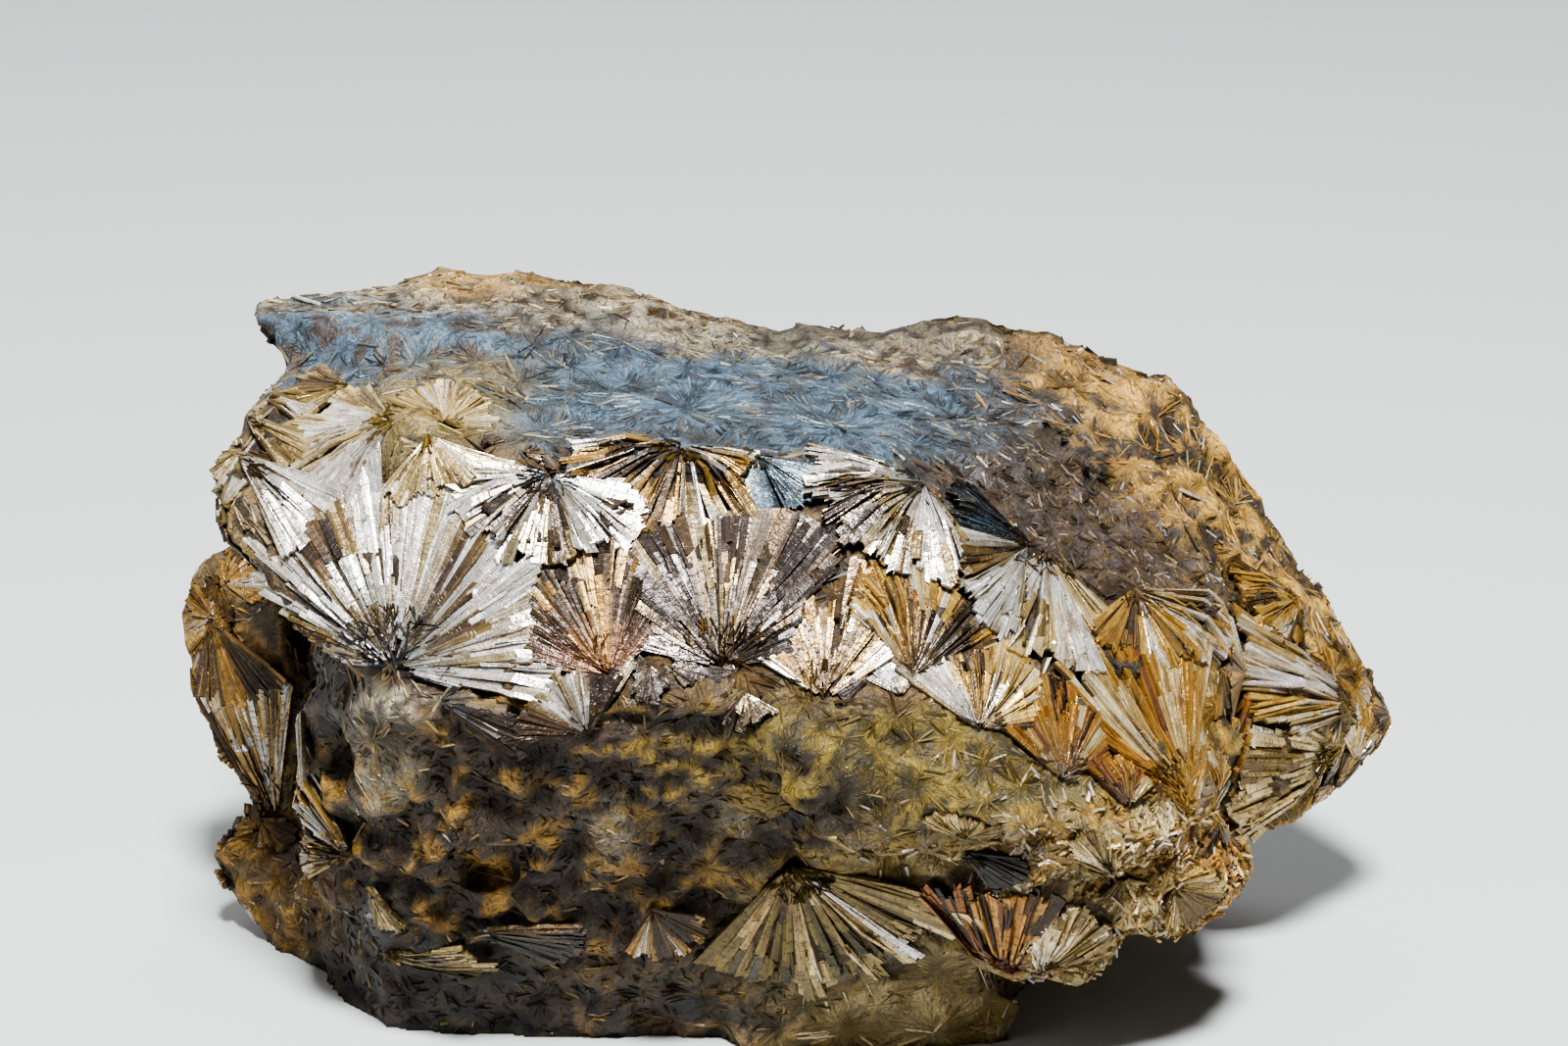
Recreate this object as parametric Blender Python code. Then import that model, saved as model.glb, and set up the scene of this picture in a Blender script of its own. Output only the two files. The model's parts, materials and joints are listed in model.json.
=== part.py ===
"""Pyrophyllite hand specimen: one broken lump of massive, radiating pyrophyllite.

The lump is one solid, because it grew and broke as one piece of rock. Its mass is a union of a few
convex blocks, as the rock split along flat breaks. Fans of flat blades, each radiating from its own
focus, are fused to it all round, and it stands on a flat break at z = 0.

Frame: metres, +Z up, origin at the centre of the foot's box. The display side, which carries the
large fans, faces -Y. Sizes below are in millimetres, and MM turns them into metres.
"""

import math
import random
from typing import NamedTuple

import bmesh
import bpy
from mathutils import Matrix, Vector, noise
from mathutils.bvhtree import BVHTree

MM = 0.001
NODE = "pyrophyllite_specimen"

# The display eye: where a viewer stands to see the large fans. A fan's place is given on the plane
# that faces the eye through AIM, as (right, up) from AIM.
AIM = Vector((0.0, 0.0, 48.6))
EYE_TILT = math.radians(20.0)
EYE_DISTANCE = 375.0
EYE_BACK = Vector((0.0, -math.cos(EYE_TILT), math.sin(EYE_TILT)))
EYE_RIGHT = Vector((1.0, 0.0, 0.0))
EYE_UP = Vector((0.0, math.sin(EYE_TILT), math.cos(EYE_TILT)))
EYE = AIM + EYE_BACK * EYE_DISTANCE

# The broken mass.
BURIED = -3.0  # how far blocks reach below the foot before it is cut flat
SKIN_VOXEL = 1.1
SKIN_FACES = 2400
ROUGHNESS = ((13.0, 1.1), (4.5, 0.45))  # (wavelength, height) of the broken skin
CENTRE = Vector((0.0, 3.0, 34.0))

# A fan's plate.
SINK = 2.6  # how far a plate goes into the mass
RIDGE = 0.9  # height of a blade's crest over its edges at the tips
SHORT = 9.5  # a fan with less reach than this has straight blades
DROP_LIMIT = 3.2  # a blade stops where the mass falls this far from the fan's plane
SEED = 11


class Fan(NamedTuple):
    """A fan of blades: its focus as (right, up) from AIM, and the way it opens, as the eye sees it."""

    right: float
    up: float
    heading: float  # degrees, 0 to the right and 90 up
    spread: float  # degrees
    reach: float
    blades: int
    lift: float  # how far the tips stand off the mass


BLOCKS = {
    "core": (
        (-44, -3, BURIED), (-39, -9, BURIED), (-34, -10.6, BURIED), (18, -11.6, BURIED),
        (22, -6, BURIED), (30, 16, BURIED), (36, 27, BURIED), (-46, 26, BURIED), (-48, 12, BURIED),
        (-46, -10, 33), (-38, -25, 40), (-24, -29, 40), (-3, -30, 41), (9, -30, 42), (17, -28, 39),
        (-34, -12, 62), (-22, -13, 60), (8, -12, 58), (16, -10, 54.5),
        (-36, 26, 64.6), (-16, 26, 61.8), (20, 28, 58.4),
        (-46, 33, 38), (-20, 36, 36), (24, 36, 34),
    ),
    "upper_left": (
        (-48.5, 4, 62.3), (-51, 0, 61), (-52, -5, 59.5), (-53.3, -9, 57), (-52.5, -14, 51.5),
        (-40, -25, 43), (-34, -23, 46), (-34, -12, 63), (-44, 20, 63.5), (-28, 24, 64.5), (-20, 18, 64),
        (-48, 20, 56), (-49, 4, 49), (-44, 26, 42), (-36, -5, 38), (-45, -16, 46),
    ),
    "crust": (
        (-54, 12, 67.2), (-50, 10, 63), (-46, 22, 66.6), (-36, 27, 66.4), (-26, 28, 66.2), (-16, 27, 65.5),
        (-8, 26, 62), (-12, 14, 63), (-30, 8, 65.5), (-42, 6, 65.5), (-48, 18, 62), (-20, 20, 60),
    ),
    "back_crust": (
        (7, 24, 58.8), (11, 30, 60.2), (20, 30, 61.4), (31, 30, 59.2), (40.5, 28, 55), (43, 25, 51),
        (34, 18, 54), (22, 16, 57), (10, 19, 58), (30, 26, 50), (12, 26, 54),
    ),
    "right_shoulder": (
        (12, -30, 41), (19, -30, 38), (27, -28, 34), (36, -24, 28.5), (42, -15, 28),
        (14, -11, 55.5), (27, -11, 49), (37, -8, 44.5), (43, -6, 39),
        (16, 28, 59.6), (30, 28, 58.2), (40, 27, 53.6), (43.6, 24, 48),
        (22, -24, 14), (38, -8, 16), (32, 20, 4), (18, 34, 30), (42, 30, 30),
    ),
    "far_right": (
        (43.8, 26, 49.3), (49.9, 26, 42.3), (55, 23, 34.4), (60.4, 19, 26.8), (61.8, 15.5, 20.8),
        (59, 10, 23), (52, 3, 29), (44, 0, 34), (48, 3, 13.8), (57, 12, 16.2), (40, 30, 12), (51, 30, 26),
        (34, 10, 16), (36, 0, 30),
    ),
    "lower_right": (
        (24, -27, 33), (37, -22, 30), (42, -17, 25), (42.5, -14, 18), (41.3, -17.5, 14.6),
        (38.7, -19.5, 13.6), (34, -21.2, 14.6), (25, -24, 17), (24, -10, 20), (38, 0, 18),
    ),
    "knob": ((45.8, -13, 20), (46, -12, 16.5), (44, -15, 14.4), (40, -16, 15), (40, -10, 22), (43, -6, 17)),
    "roll": (
        (-4, -30.5, 40), (0, -31, 33), (10, -33, 38), (20, -32.5, 34), (30, -29.5, 29), (37, -24, 26),
        (28, -28, 24), (14, -29.5, 26.5), (2, -28, 28), (10, -16, 40), (28, -14, 34), (8, -18, 28),
    ),
    "low_fan": (
        (15, -27, 22), (22, -27, 20), (29, -24, 16), (31.8, -21.5, 12.2), (29.5, -21, 9.6), (26, -21, 8.6),
        (22.5, -20, 8.4), (17, -21, 12), (13, -18, 22), (24, -8, 8), (30, -8, 14), (20, -6, 20),
    ),
    "toe": (
        (-4, -17, 8), (12, -16, 9), (21, -16, 6), (24.8, -14, 4.4), (22, -13, BURIED), (-6, -14, BURIED),
        (14, -2, 4), (0, -20, 14), (8, -20, 15),
    ),
    "left_front": (
        (-46.5, -11, 30), (-47, -7, 16), (-44, -12, 12), (-38, -18, 26), (-36, -8, 8), (-38, -4, 34),
    ),
    "left_lobe": (
        (-57.5, 19, 39), (-60, 20, 37), (-62.5, 19, 32), (-61, 17, 25.5), (-56.5, 15, 18), (-54.6, 12, 12.5),
        (-51, 13, 34), (-47, 24, 42), (-46, 9, 12), (-54, 30, 28), (-46, 30, 12),
    ),
    "spur": (
        (-60, 12, 8), (-50.5, 6, BURIED), (-51.5, 17, BURIED), (-46, 1, BURIED), (-54.8, 12, 12.2),
        (-46, 4, 12), (-44, 24, BURIED), (-48, 24, 12),
    ),
    "back_rib": (
        (-30, 38, 44), (8, 39, 40), (26, 34, 46), (-36, 30, 58), (-8, 30, 57), (-10, 40, 26),
        (-30, 30, 18), (20, 30, 16),
    ),
}

# What broke away, as the corners of convex cutters: (right, up) seen from the eye, and depth (y).
HOLLOWS = {
    "notch": (
        (-48.4, 16.1, -14), (-53.6, 22.5, -14), (-56.2, 12.5, -14), (-52.2, 11.4, -14),
        (-48.4, 16.1, 16), (-53.6, 22.5, 8), (-56.2, 12.5, 16), (-52.2, 11.4, 4),
    ),
    "recess": (
        (-54.5, -3.6, -34), (-42, -15.2, -34), (-47.4, -17.2, -34), (-56, -16, -34),
        (-54.5, -4.2, 8), (-44.2, -14.8, 6), (-47.6, -17.6, 6), (-54, -15.6, 8),
    ),
    "cavity": (
        (-33.8, -30.6, -34), (-28.1, -29.6, -34), (-23.9, -32.5, -34), (-26.2, -36.7, -34),
        (-32.8, -35.8, -34), (-31.4, -32.5, -12), (-26.2, -33, -12), (-27.7, -34.8, -12),
    ),
}

DISPLAY_FANS = (
    # upper left, opening down to the ledge
    Fan(-37.5, 9.7, 200, 70, 9.0, 5, 0.6),
    Fan(-34.0, 8.5, 290, 60, 6.0, 4, 0.6),
    Fan(-32.3, 10.2, 50, 80, 6.0, 4, 0.3),
    Fan(-52.6, 7.0, 318, 22, 11.0, 4, 0.8),
    Fan(-51.5, 10.2, 330, 24, 8.0, 3, 0.6),
    Fan(-49.8, 12.6, 342, 26, 6.5, 3, 0.4),
    # upper row of the slope: foci at the top, tips lifted off the row below
    Fan(-21.9, 5.0, 258, 150, 10.0, 8, 1.7),
    Fan(-9.7, 8.0, 265, 130, 9.0, 7, 1.7),
    Fan(13.6, 4.4, 222, 110, 10.5, 6, 1.9),
    Fan(23.5, -2.1, 225, 90, 11.0, 5, 1.2),
    Fan(23.5, -1.8, 165, 50, 9.0, 3, 0.5),
    Fan(26.7, -4.8, 272, 60, 11.0, 4, 0.9),
    Fan(33.9, -6.0, 322, 80, 9.5, 5, 1.6),
    Fan(32.8, -6.4, 262, 50, 11.0, 4, 1.6),
    # lower row of the slope: foci just above the ledge
    Fan(-37.5, -13.7, 75, 140, 15.0, 9, 0.4),
    Fan(-33.1, -17.1, 0, 50, 10.0, 4, 0.3),
    Fan(-16.7, -14.7, 108, 55, 12.0, 5, 0.4),
    Fan(-18.8, -20.3, 130, 50, 6.5, 3, 0.3),
    Fan(-5.9, -13.5, 86, 100, 13.5, 7, 0.4),
    Fan(3.9, -16.7, 95, 90, 11.0, 6, 0.4),
    Fan(12.5, -14.7, 80, 80, 9.0, 5, 0.4),
    Fan(18.9, -19.4, 80, 70, 7.0, 4, 0.4),
    Fan(39.2, -27.4, 118, 50, 18.0, 6, 0.3),
    Fan(27.0, -24.5, 92, 70, 10.0, 5, 0.4),
    # far right
    Fan(55.4, -17.7, 155, 45, 16.0, 5, 0.6),
    Fan(53.6, -21.8, 197, 70, 12.5, 6, 0.6),
    Fan(49.3, -7.2, 200, 80, 9.0, 5, 0.6),
    Fan(42.6, 1.2, 210, 90, 8.0, 5, 0.6),
    Fan(31.0, 7.8, 200, 90, 8.0, 5, 0.6),
    # left end and the shaded face under the ledge
    Fan(-41.4, -31.9, 132, 65, 11.5, 5, 1.2),
    Fan(-42.7, -31.4, 182, 40, 6.0, 3, 0.9),
    Fan(-48.7, -28.5, 104, 32, 20.0, 4, 0.8),
    Fan(3.0, -33.4, 300, 115, 14.0, 8, 0.7),
    Fan(17.3, -31.7, 315, 70, 9.0, 5, 0.6),
    Fan(21.6, -43.5, 108, 60, 9.0, 5, 0.8),
    Fan(24.6, -43.6, 62, 60, 6.0, 4, 0.8),
    Fan(31.4, -33.6, 140, 60, 5.5, 4, 0.8),
    Fan(32.8, -34.5, 275, 90, 5.5, 5, 0.8),
    Fan(17.3, -30.4, 85, 110, 4.5, 4, 0.6),
    Fan(22.5, -30.8, 90, 80, 4.0, 4, 0.6),
    Fan(-39.4, -41.4, 354, 20, 20.0, 3, 0.5),
    Fan(-14.0, -36.7, 310, 60, 10.0, 5, 0.5),
    Fan(-33.8, -30.8, 5, 60, 5.0, 3, 0.8),
)

# Fans on the sides that the eye doesn't see, spread evenly by a spiral of directions.
SIDE_DIRECTIONS = 76
SIDE_REACH = (8.0, 13.0)
SIDE_SPREAD = (100.0, 170.0)
SIDE_BLADES = 5
SIDE_FACING = -0.12  # the most that a side fan's surface may face the eye
SIDE_UP = Vector((0.3, 0.4, 1.0))  # a side fan's angle is counted from level, square to this
SIDE_FOOT = 7.0  # side fans stay this far above the foot


class Site(NamedTuple):
    """A fan in place: focus, outward normal and middle direction, with its sizes."""

    focus: Vector
    normal: Vector
    forward: Vector
    spread: float
    reach: float
    blades: int
    lift: float


def link(name, bm):
    """Makes a mesh object of bm and frees bm."""
    mesh = bpy.data.meshes.new(name)
    bm.to_mesh(mesh)
    bm.free()
    obj = bpy.data.objects.new(name, mesh)
    bpy.context.scene.collection.objects.link(obj)
    return obj


def convex_block(name, corners):
    """A closed convex block with these corners, in millimetres."""
    bm = bmesh.new()
    verts = [bm.verts.new(corner) for corner in corners]
    made = bmesh.ops.convex_hull(bm, input=verts)
    unused = [v for v in made["geom_interior"] if isinstance(v, bmesh.types.BMVert)]
    bmesh.ops.delete(bm, geom=unused, context="VERTS")
    bmesh.ops.recalc_face_normals(bm, faces=bm.faces)
    return link(name, bm)


def settle(obj):
    """Turns the object's modifiers into its mesh."""
    graph = bpy.context.evaluated_depsgraph_get()
    mesh = bpy.data.meshes.new_from_object(obj.evaluated_get(graph))
    obj.modifiers.clear()
    obj.data = mesh


def join(objects):
    """Joins the objects into the first one, as meshes that still overlap."""
    bm = bmesh.new()
    for obj in objects:
        bm.from_mesh(obj.data)
        bpy.data.objects.remove(obj)
    return link(NODE, bm)


def fuse(body):
    """Turns the body into one even closed skin."""
    modifier = body.modifiers.new("fuse", "REMESH")
    modifier.mode = "VOXEL"
    modifier.voxel_size = SKIN_VOXEL
    settle(body)


def broken_mass():
    """The rock without its fans: blocks fused, hollowed, roughened and thinned to a few thousand faces."""
    body = join([convex_block(name, corners) for name, corners in BLOCKS.items()])
    fuse(body)
    for name, corners in HOLLOWS.items():
        boolean(body, convex_block(name, [eye_place(*corner) for corner in corners]), "DIFFERENCE")
    fuse(body)
    roughen(body.data)
    body.data.calc_loop_triangles()
    thin = body.modifiers.new("thin", "DECIMATE")
    thin.ratio = SKIN_FACES / len(body.data.loop_triangles)
    settle(body)
    return body


def roughen(mesh):
    """Moves the skin in and out along its normals by layered noise."""
    for vertex in mesh.vertices:
        height = 0.0
        for wavelength, amount in ROUGHNESS:
            height += amount * noise.fractal(vertex.co / wavelength, 1.0, 2.0, 3)
        vertex.co += vertex.normal * height


def tree_of(obj):
    """A search tree of the object's faces."""
    graph = bpy.context.evaluated_depsgraph_get()
    return BVHTree.FromObject(obj, graph)


def eye_ray(right, up):
    """The unit direction from the eye through a place on the plane that faces it."""
    return (AIM + EYE_RIGHT * right + EYE_UP * up - EYE).normalized()


def eye_place(right, up, depth):
    """The point at y = depth that the eye sees at a place on the plane that faces it."""
    direction = eye_ray(right, up)
    return EYE + direction * ((depth - EYE.y) / direction.y)


def mean_normal(tree, point, normal, radius):
    """The mass's outward normal, averaged over a disc around the point."""
    side = normal.orthogonal().normalized()
    across = normal.cross(side)
    total = normal.copy()
    for step in range(8):
        angle = step * math.tau / 8
        start = point + (side * math.cos(angle) + across * math.sin(angle)) * radius + normal * 6
        hit, hit_normal, _, _ = tree.ray_cast(start, -normal, 14)
        if hit:
            total += hit_normal
    return total.normalized()


def display_site(tree, fan):
    """Where a display fan sits on the mass, or None if the eye's ray misses it."""
    direction = eye_ray(fan.right, fan.up)
    focus, normal, _, _ = tree.ray_cast(EYE, direction)
    if focus is None:
        return None
    normal = mean_normal(tree, focus, normal, fan.reach * 0.5)
    turn = math.radians(fan.heading)
    tip = eye_ray(fan.right + math.cos(turn) * 3, fan.up + math.sin(turn) * 3)
    # The middle direction is where the eye's plane through the heading cuts the tangent plane.
    distance = (focus - EYE).dot(normal) / tip.dot(normal)
    forward = EYE + tip * distance - focus
    return Site(
        focus, normal, forward.normalized(), fan.spread, fan.reach, fan.blades, fan.lift
    )


def side_sites(tree):
    """Fans on the sides turned away from the eye, one for each direction of a spiral."""
    golden = math.pi * (3 - math.sqrt(5))
    for index in range(SIDE_DIRECTIONS):
        rng = random.Random(SEED * 1000 + index)
        height = 1 - 2 * (index + 0.5) / SIDE_DIRECTIONS
        ring = math.sqrt(1 - height * height)
        outward = Vector((ring * math.cos(golden * index), ring * math.sin(golden * index), height))
        start = CENTRE + Vector((outward.x * 90, outward.y * 90, outward.z * 90))
        focus, normal, _, _ = tree.ray_cast(start, -outward)
        angle, reach = rng.uniform(0, math.tau), rng.uniform(*SIDE_REACH)
        spread = rng.uniform(*SIDE_SPREAD)
        if focus is None or focus.z < SIDE_FOOT:
            continue
        if normal.dot((EYE - focus).normalized()) > SIDE_FACING or normal.z < -0.85:
            continue
        normal = mean_normal(tree, focus, normal, reach * 0.5)
        level = normal.cross(SIDE_UP).normalized()
        forward = Matrix.Rotation(angle, 3, normal) @ level
        yield Site(focus, normal, forward, spread, reach, SIDE_BLADES, rng.uniform(0.2, 0.8))


def surface_under(tree, site, place):
    """The mass's surface under a place on the fan's plane, and how far it lies below that plane."""
    hit, _, _, _ = tree.ray_cast(place + site.normal * 8, -site.normal, 24)
    if hit is None:
        return place - site.normal * 9, 9.0
    return hit, (place - hit).dot(site.normal)


def blade_length(tree, site, along, wanted):
    """How far a blade can run from the focus before the mass falls away under it, up to wanted."""
    reached = 1.0
    while reached < wanted:
        _, drop = surface_under(tree, site, site.focus + along * (reached + 1))
        if abs(drop) > DROP_LIMIT:
            return max(reached, 2.0)
        reached += 1
    return wanted


def fan_lines(tree, site, rng):
    """The fan's rays from side to side: a list of (top points, buried points), outwards from the focus.

    Odd rays are crests and even rays are the low edges between blades, so each blade is a roof of two
    flat faces. A crest runs further than the edges beside it, which gives each blade a pointed end.
    """
    lines = []
    count = site.blades * 2 + 1
    for ray in range(count):
        share = ray / (count - 1) - 0.5
        if 0 < ray < count - 1:
            share += rng.uniform(-0.22, 0.22) / count
        turn = Matrix.Rotation(math.radians(site.spread) * share, 3, site.normal)
        along = turn @ site.forward
        crest = ray % 2 == 1
        wanted = site.reach * (rng.uniform(0.86, 1.0) if crest else rng.uniform(0.7, 0.84))
        length = blade_length(tree, site, along, wanted)
        tops, lows = [], []
        for part in (1.0,) if site.reach < SHORT else (0.5, 1.0):
            base, _ = surface_under(tree, site, site.focus + along * length * part)
            height = 0.25 + site.lift * part * part + (RIDGE * (0.35 + 0.65 * part) if crest else 0.0)
            tops.append(base + site.normal * height)
            lows.append(base - site.normal * SINK)
        lines.append((tops, lows))
    return lines


def fan_plate(tree, site, rng, name):
    """One fan as a closed, pleated plate whose back is buried in the mass."""
    lines = fan_lines(tree, site, rng)
    bm = bmesh.new()
    apex = bm.verts.new(site.focus + site.normal * 0.3)
    low_apex = bm.verts.new(site.focus - site.normal * SINK)
    tops = [[apex] + [bm.verts.new(p) for p in top] for top, _ in lines]
    lows = [[low_apex] + [bm.verts.new(p) for p in low] for _, low in lines]
    for left, right, low_left, low_right in zip(tops, tops[1:], lows, lows[1:]):
        bm.faces.new((apex, left[1], right[1]))
        bm.faces.new((low_apex, low_right[1], low_left[1]))
        for near in range(1, len(left) - 1):
            bm.faces.new((left[near], left[near + 1], right[near + 1], right[near]))
            bm.faces.new((low_left[near], low_right[near], low_right[near + 1], low_left[near + 1]))
        bm.faces.new((right[-1], left[-1], low_left[-1], low_right[-1]))
    for top, low, flip in ((tops[0], lows[0], False), (tops[-1], lows[-1], True)):
        for near in range(len(top) - 1):
            corners = (top[near], low[near], low[near + 1], top[near + 1])
            bm.faces.new(corners[::-1] if flip else corners)
    bmesh.ops.triangulate(bm, faces=bm.faces)
    bmesh.ops.recalc_face_normals(bm, faces=bm.faces)
    return link(name, bm)


def boolean(body, other, operation):
    """Joins other to the body, or cuts it away, and removes it."""
    modifier = body.modifiers.new(operation.lower(), "BOOLEAN")
    modifier.operation = operation
    modifier.object = other
    settle(body)
    bpy.data.objects.remove(other)


def solidity(mesh):
    """The volume that the mesh encloses, and how many of its edges aren't between two faces."""
    bm = bmesh.new()
    bm.from_mesh(mesh)
    volume = bm.calc_volume(signed=True)
    open_edges = sum(len(edge.link_faces) != 2 for edge in bm.edges)
    bm.free()
    return volume, open_edges


def fuse_plate(body, plate):
    """Joins a plate to the body. A plate that folds through itself at a sharp corner is left out."""
    before = body.data.copy()
    volume, _ = solidity(before)
    boolean(body, plate, "UNION")
    grown, open_edges = solidity(body.data)
    if open_edges or not volume * 0.9999 < grown < volume * 1.01:
        body.data = before


def keep_largest_shell(body):
    """Fills gaps shut in under a plate, by removing every shell but the one with the most vertices."""
    bm = bmesh.new()
    bm.from_mesh(body.data)
    waiting, shells = set(bm.verts), []
    while waiting:
        shell, front = set(), [waiting.pop()]
        while front:
            vertex = front.pop()
            shell.add(vertex)
            for edge in vertex.link_edges:
                other = edge.other_vert(vertex)
                if other in waiting:
                    waiting.remove(other)
                    front.append(other)
        shells.append(shell)
    shells.sort(key=len)
    for shell in shells[:-1]:
        bmesh.ops.delete(bm, geom=list(shell), context="VERTS")
    bm.to_mesh(body.data)
    bm.free()


def foot_cutter():
    """A slab below z = 0 that leaves the foot flat."""
    bm = bmesh.new()
    bmesh.ops.create_cube(bm, size=1)
    bmesh.ops.transform(bm, matrix=Matrix.Diagonal((200, 200, 20, 1)), verts=bm.verts)
    bmesh.ops.translate(bm, vec=(0, 0, -10), verts=bm.verts)
    return link("foot_cutter", bm)


def centre_on_foot(body):
    """Moves the body so that its box is centred on the origin."""
    for axis in (0, 1):
        values = [vertex.co[axis] for vertex in body.data.vertices]
        middle = (min(values) + max(values)) / 2
        for vertex in body.data.vertices:
            vertex.co[axis] -= middle


def stone_material():
    """Honey-brown pyrophyllite with a pearly lustre."""
    material = bpy.data.materials.new("pyrophyllite")
    material.use_nodes = True
    shader = material.node_tree.nodes["Principled BSDF"]
    shader.inputs["Base Color"].default_value = (0.36, 0.22, 0.09, 1)
    shader.inputs["Roughness"].default_value = 0.42
    shader.inputs["Metallic"].default_value = 0.1
    return material


def main():
    """Clears the scene and builds the specimen as one solid."""
    for obj in list(bpy.data.objects):
        bpy.data.objects.remove(obj)
    rng = random.Random(SEED)
    body = broken_mass()
    tree = tree_of(body)
    sites = [site for fan in DISPLAY_FANS if (site := display_site(tree, fan))]
    sites += side_sites(tree)
    for number, site in enumerate(sites):
        fuse_plate(body, fan_plate(tree, site, rng, f"fan_{number}"))
    boolean(body, foot_cutter(), "DIFFERENCE")
    keep_largest_shell(body)
    centre_on_foot(body)
    body.data.transform(Matrix.Scale(MM, 4))
    body.data.materials.clear()
    body.data.materials.append(stone_material())


if __name__ == "__main__":
    main()
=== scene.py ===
"""Looks of the pyrophyllite specimen.

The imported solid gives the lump's place and size. A finely roughened skin replaces it, and thousands
of flat blades are laid on it in fans: large pearly ones on the display slope and round the sides, and
short felted ones on the steel-blue top and on the broken faces. Lengths in this script are in
millimetres unless a name says otherwise, and MM turns them into metres.
"""

from __future__ import annotations

import json
import logging
import math
import random
from dataclasses import dataclass, field
from enum import Enum

import bpy
import numpy as np
from bpy.types import Material, Mesh, NodeTree, Object
from mathutils import Matrix, Vector, noise
from mathutils.bvhtree import BVHTree

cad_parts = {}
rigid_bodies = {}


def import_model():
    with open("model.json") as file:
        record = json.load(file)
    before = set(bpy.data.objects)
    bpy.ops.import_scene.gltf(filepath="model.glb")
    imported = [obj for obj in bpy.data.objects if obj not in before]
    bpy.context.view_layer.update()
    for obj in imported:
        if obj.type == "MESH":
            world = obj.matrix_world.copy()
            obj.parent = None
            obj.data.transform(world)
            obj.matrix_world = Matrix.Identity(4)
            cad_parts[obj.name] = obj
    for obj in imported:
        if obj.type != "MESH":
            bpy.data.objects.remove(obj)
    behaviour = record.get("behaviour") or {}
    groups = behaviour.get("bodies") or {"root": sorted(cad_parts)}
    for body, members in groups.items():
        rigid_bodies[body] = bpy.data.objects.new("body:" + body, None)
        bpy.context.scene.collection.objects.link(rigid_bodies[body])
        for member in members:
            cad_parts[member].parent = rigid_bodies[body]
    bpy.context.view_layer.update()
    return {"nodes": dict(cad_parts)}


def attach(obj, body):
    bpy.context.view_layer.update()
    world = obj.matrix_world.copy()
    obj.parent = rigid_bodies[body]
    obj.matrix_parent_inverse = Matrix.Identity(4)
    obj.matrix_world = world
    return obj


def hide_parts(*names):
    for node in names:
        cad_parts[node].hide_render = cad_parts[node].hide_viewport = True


LOG = logging.getLogger("pyrophyllite")
MM = 0.001
NODE = "pyrophyllite_specimen"
BODY = "root"
FAR = 99.0  # Stands for a height, share or score where there is none.
NOISE_SEED = 3
Pair = tuple[float, float]
Triple = tuple[float, float, float]
Colour = Triple
Array = np.ndarray
Socket = bpy.types.NodeSocket


# Colours --------------------------------------------------


def linear(red: int, green: int, blue: int) -> Colour:
    """Turns a display colour of 0 to 255 into the linear values that shaders use."""
    shares = (value / 255 for value in (red, green, blue))
    return tuple(s / 12.92 if s <= 0.04045 else ((s + 0.055) / 1.055) ** 2.4 for s in shares)


# PEARL and LILAC, the palest colours, are partly the blades' own pale colour and partly painted silver
# reflection.
PEARL = linear(228, 224, 222)
LILAC = linear(188, 188, 187)
CREAM = linear(226, 213, 182)
STRAW = linear(202, 178, 122)
TAN = linear(144, 124, 78)
HONEY = linear(174, 134, 62)
AMBER = linear(176, 128, 56)
GOLD = linear(206, 168, 84)
BROWN = linear(94, 70, 34)
UMBER = linear(46, 31, 10)
PLUM = linear(60, 48, 45)
MAUVE = linear(114, 102, 92)
RUST = linear(134, 80, 42)
OLIVE = linear(106, 88, 28)
MOSS = linear(60, 51, 16)
# STEEL, SLATE and PALE_STEEL are partly the felt's own colour and partly painted reflection of a bluish
# surround.
STEEL = linear(76, 98, 116)
SLATE = linear(48, 60, 72)
NIGHT = linear(20, 18, 14)
PALE_STEEL = linear(134, 152, 164)
STONE = linear(140, 131, 110)
OCHRE = linear(130, 96, 30)
RUST_STAIN = linear(206, 150, 98)
BAND_STAIN = linear(194, 172, 134)
DEEP_SHADE = linear(110, 96, 70)
WHITE: Colour = (1.0, 1.0, 1.0)


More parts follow.
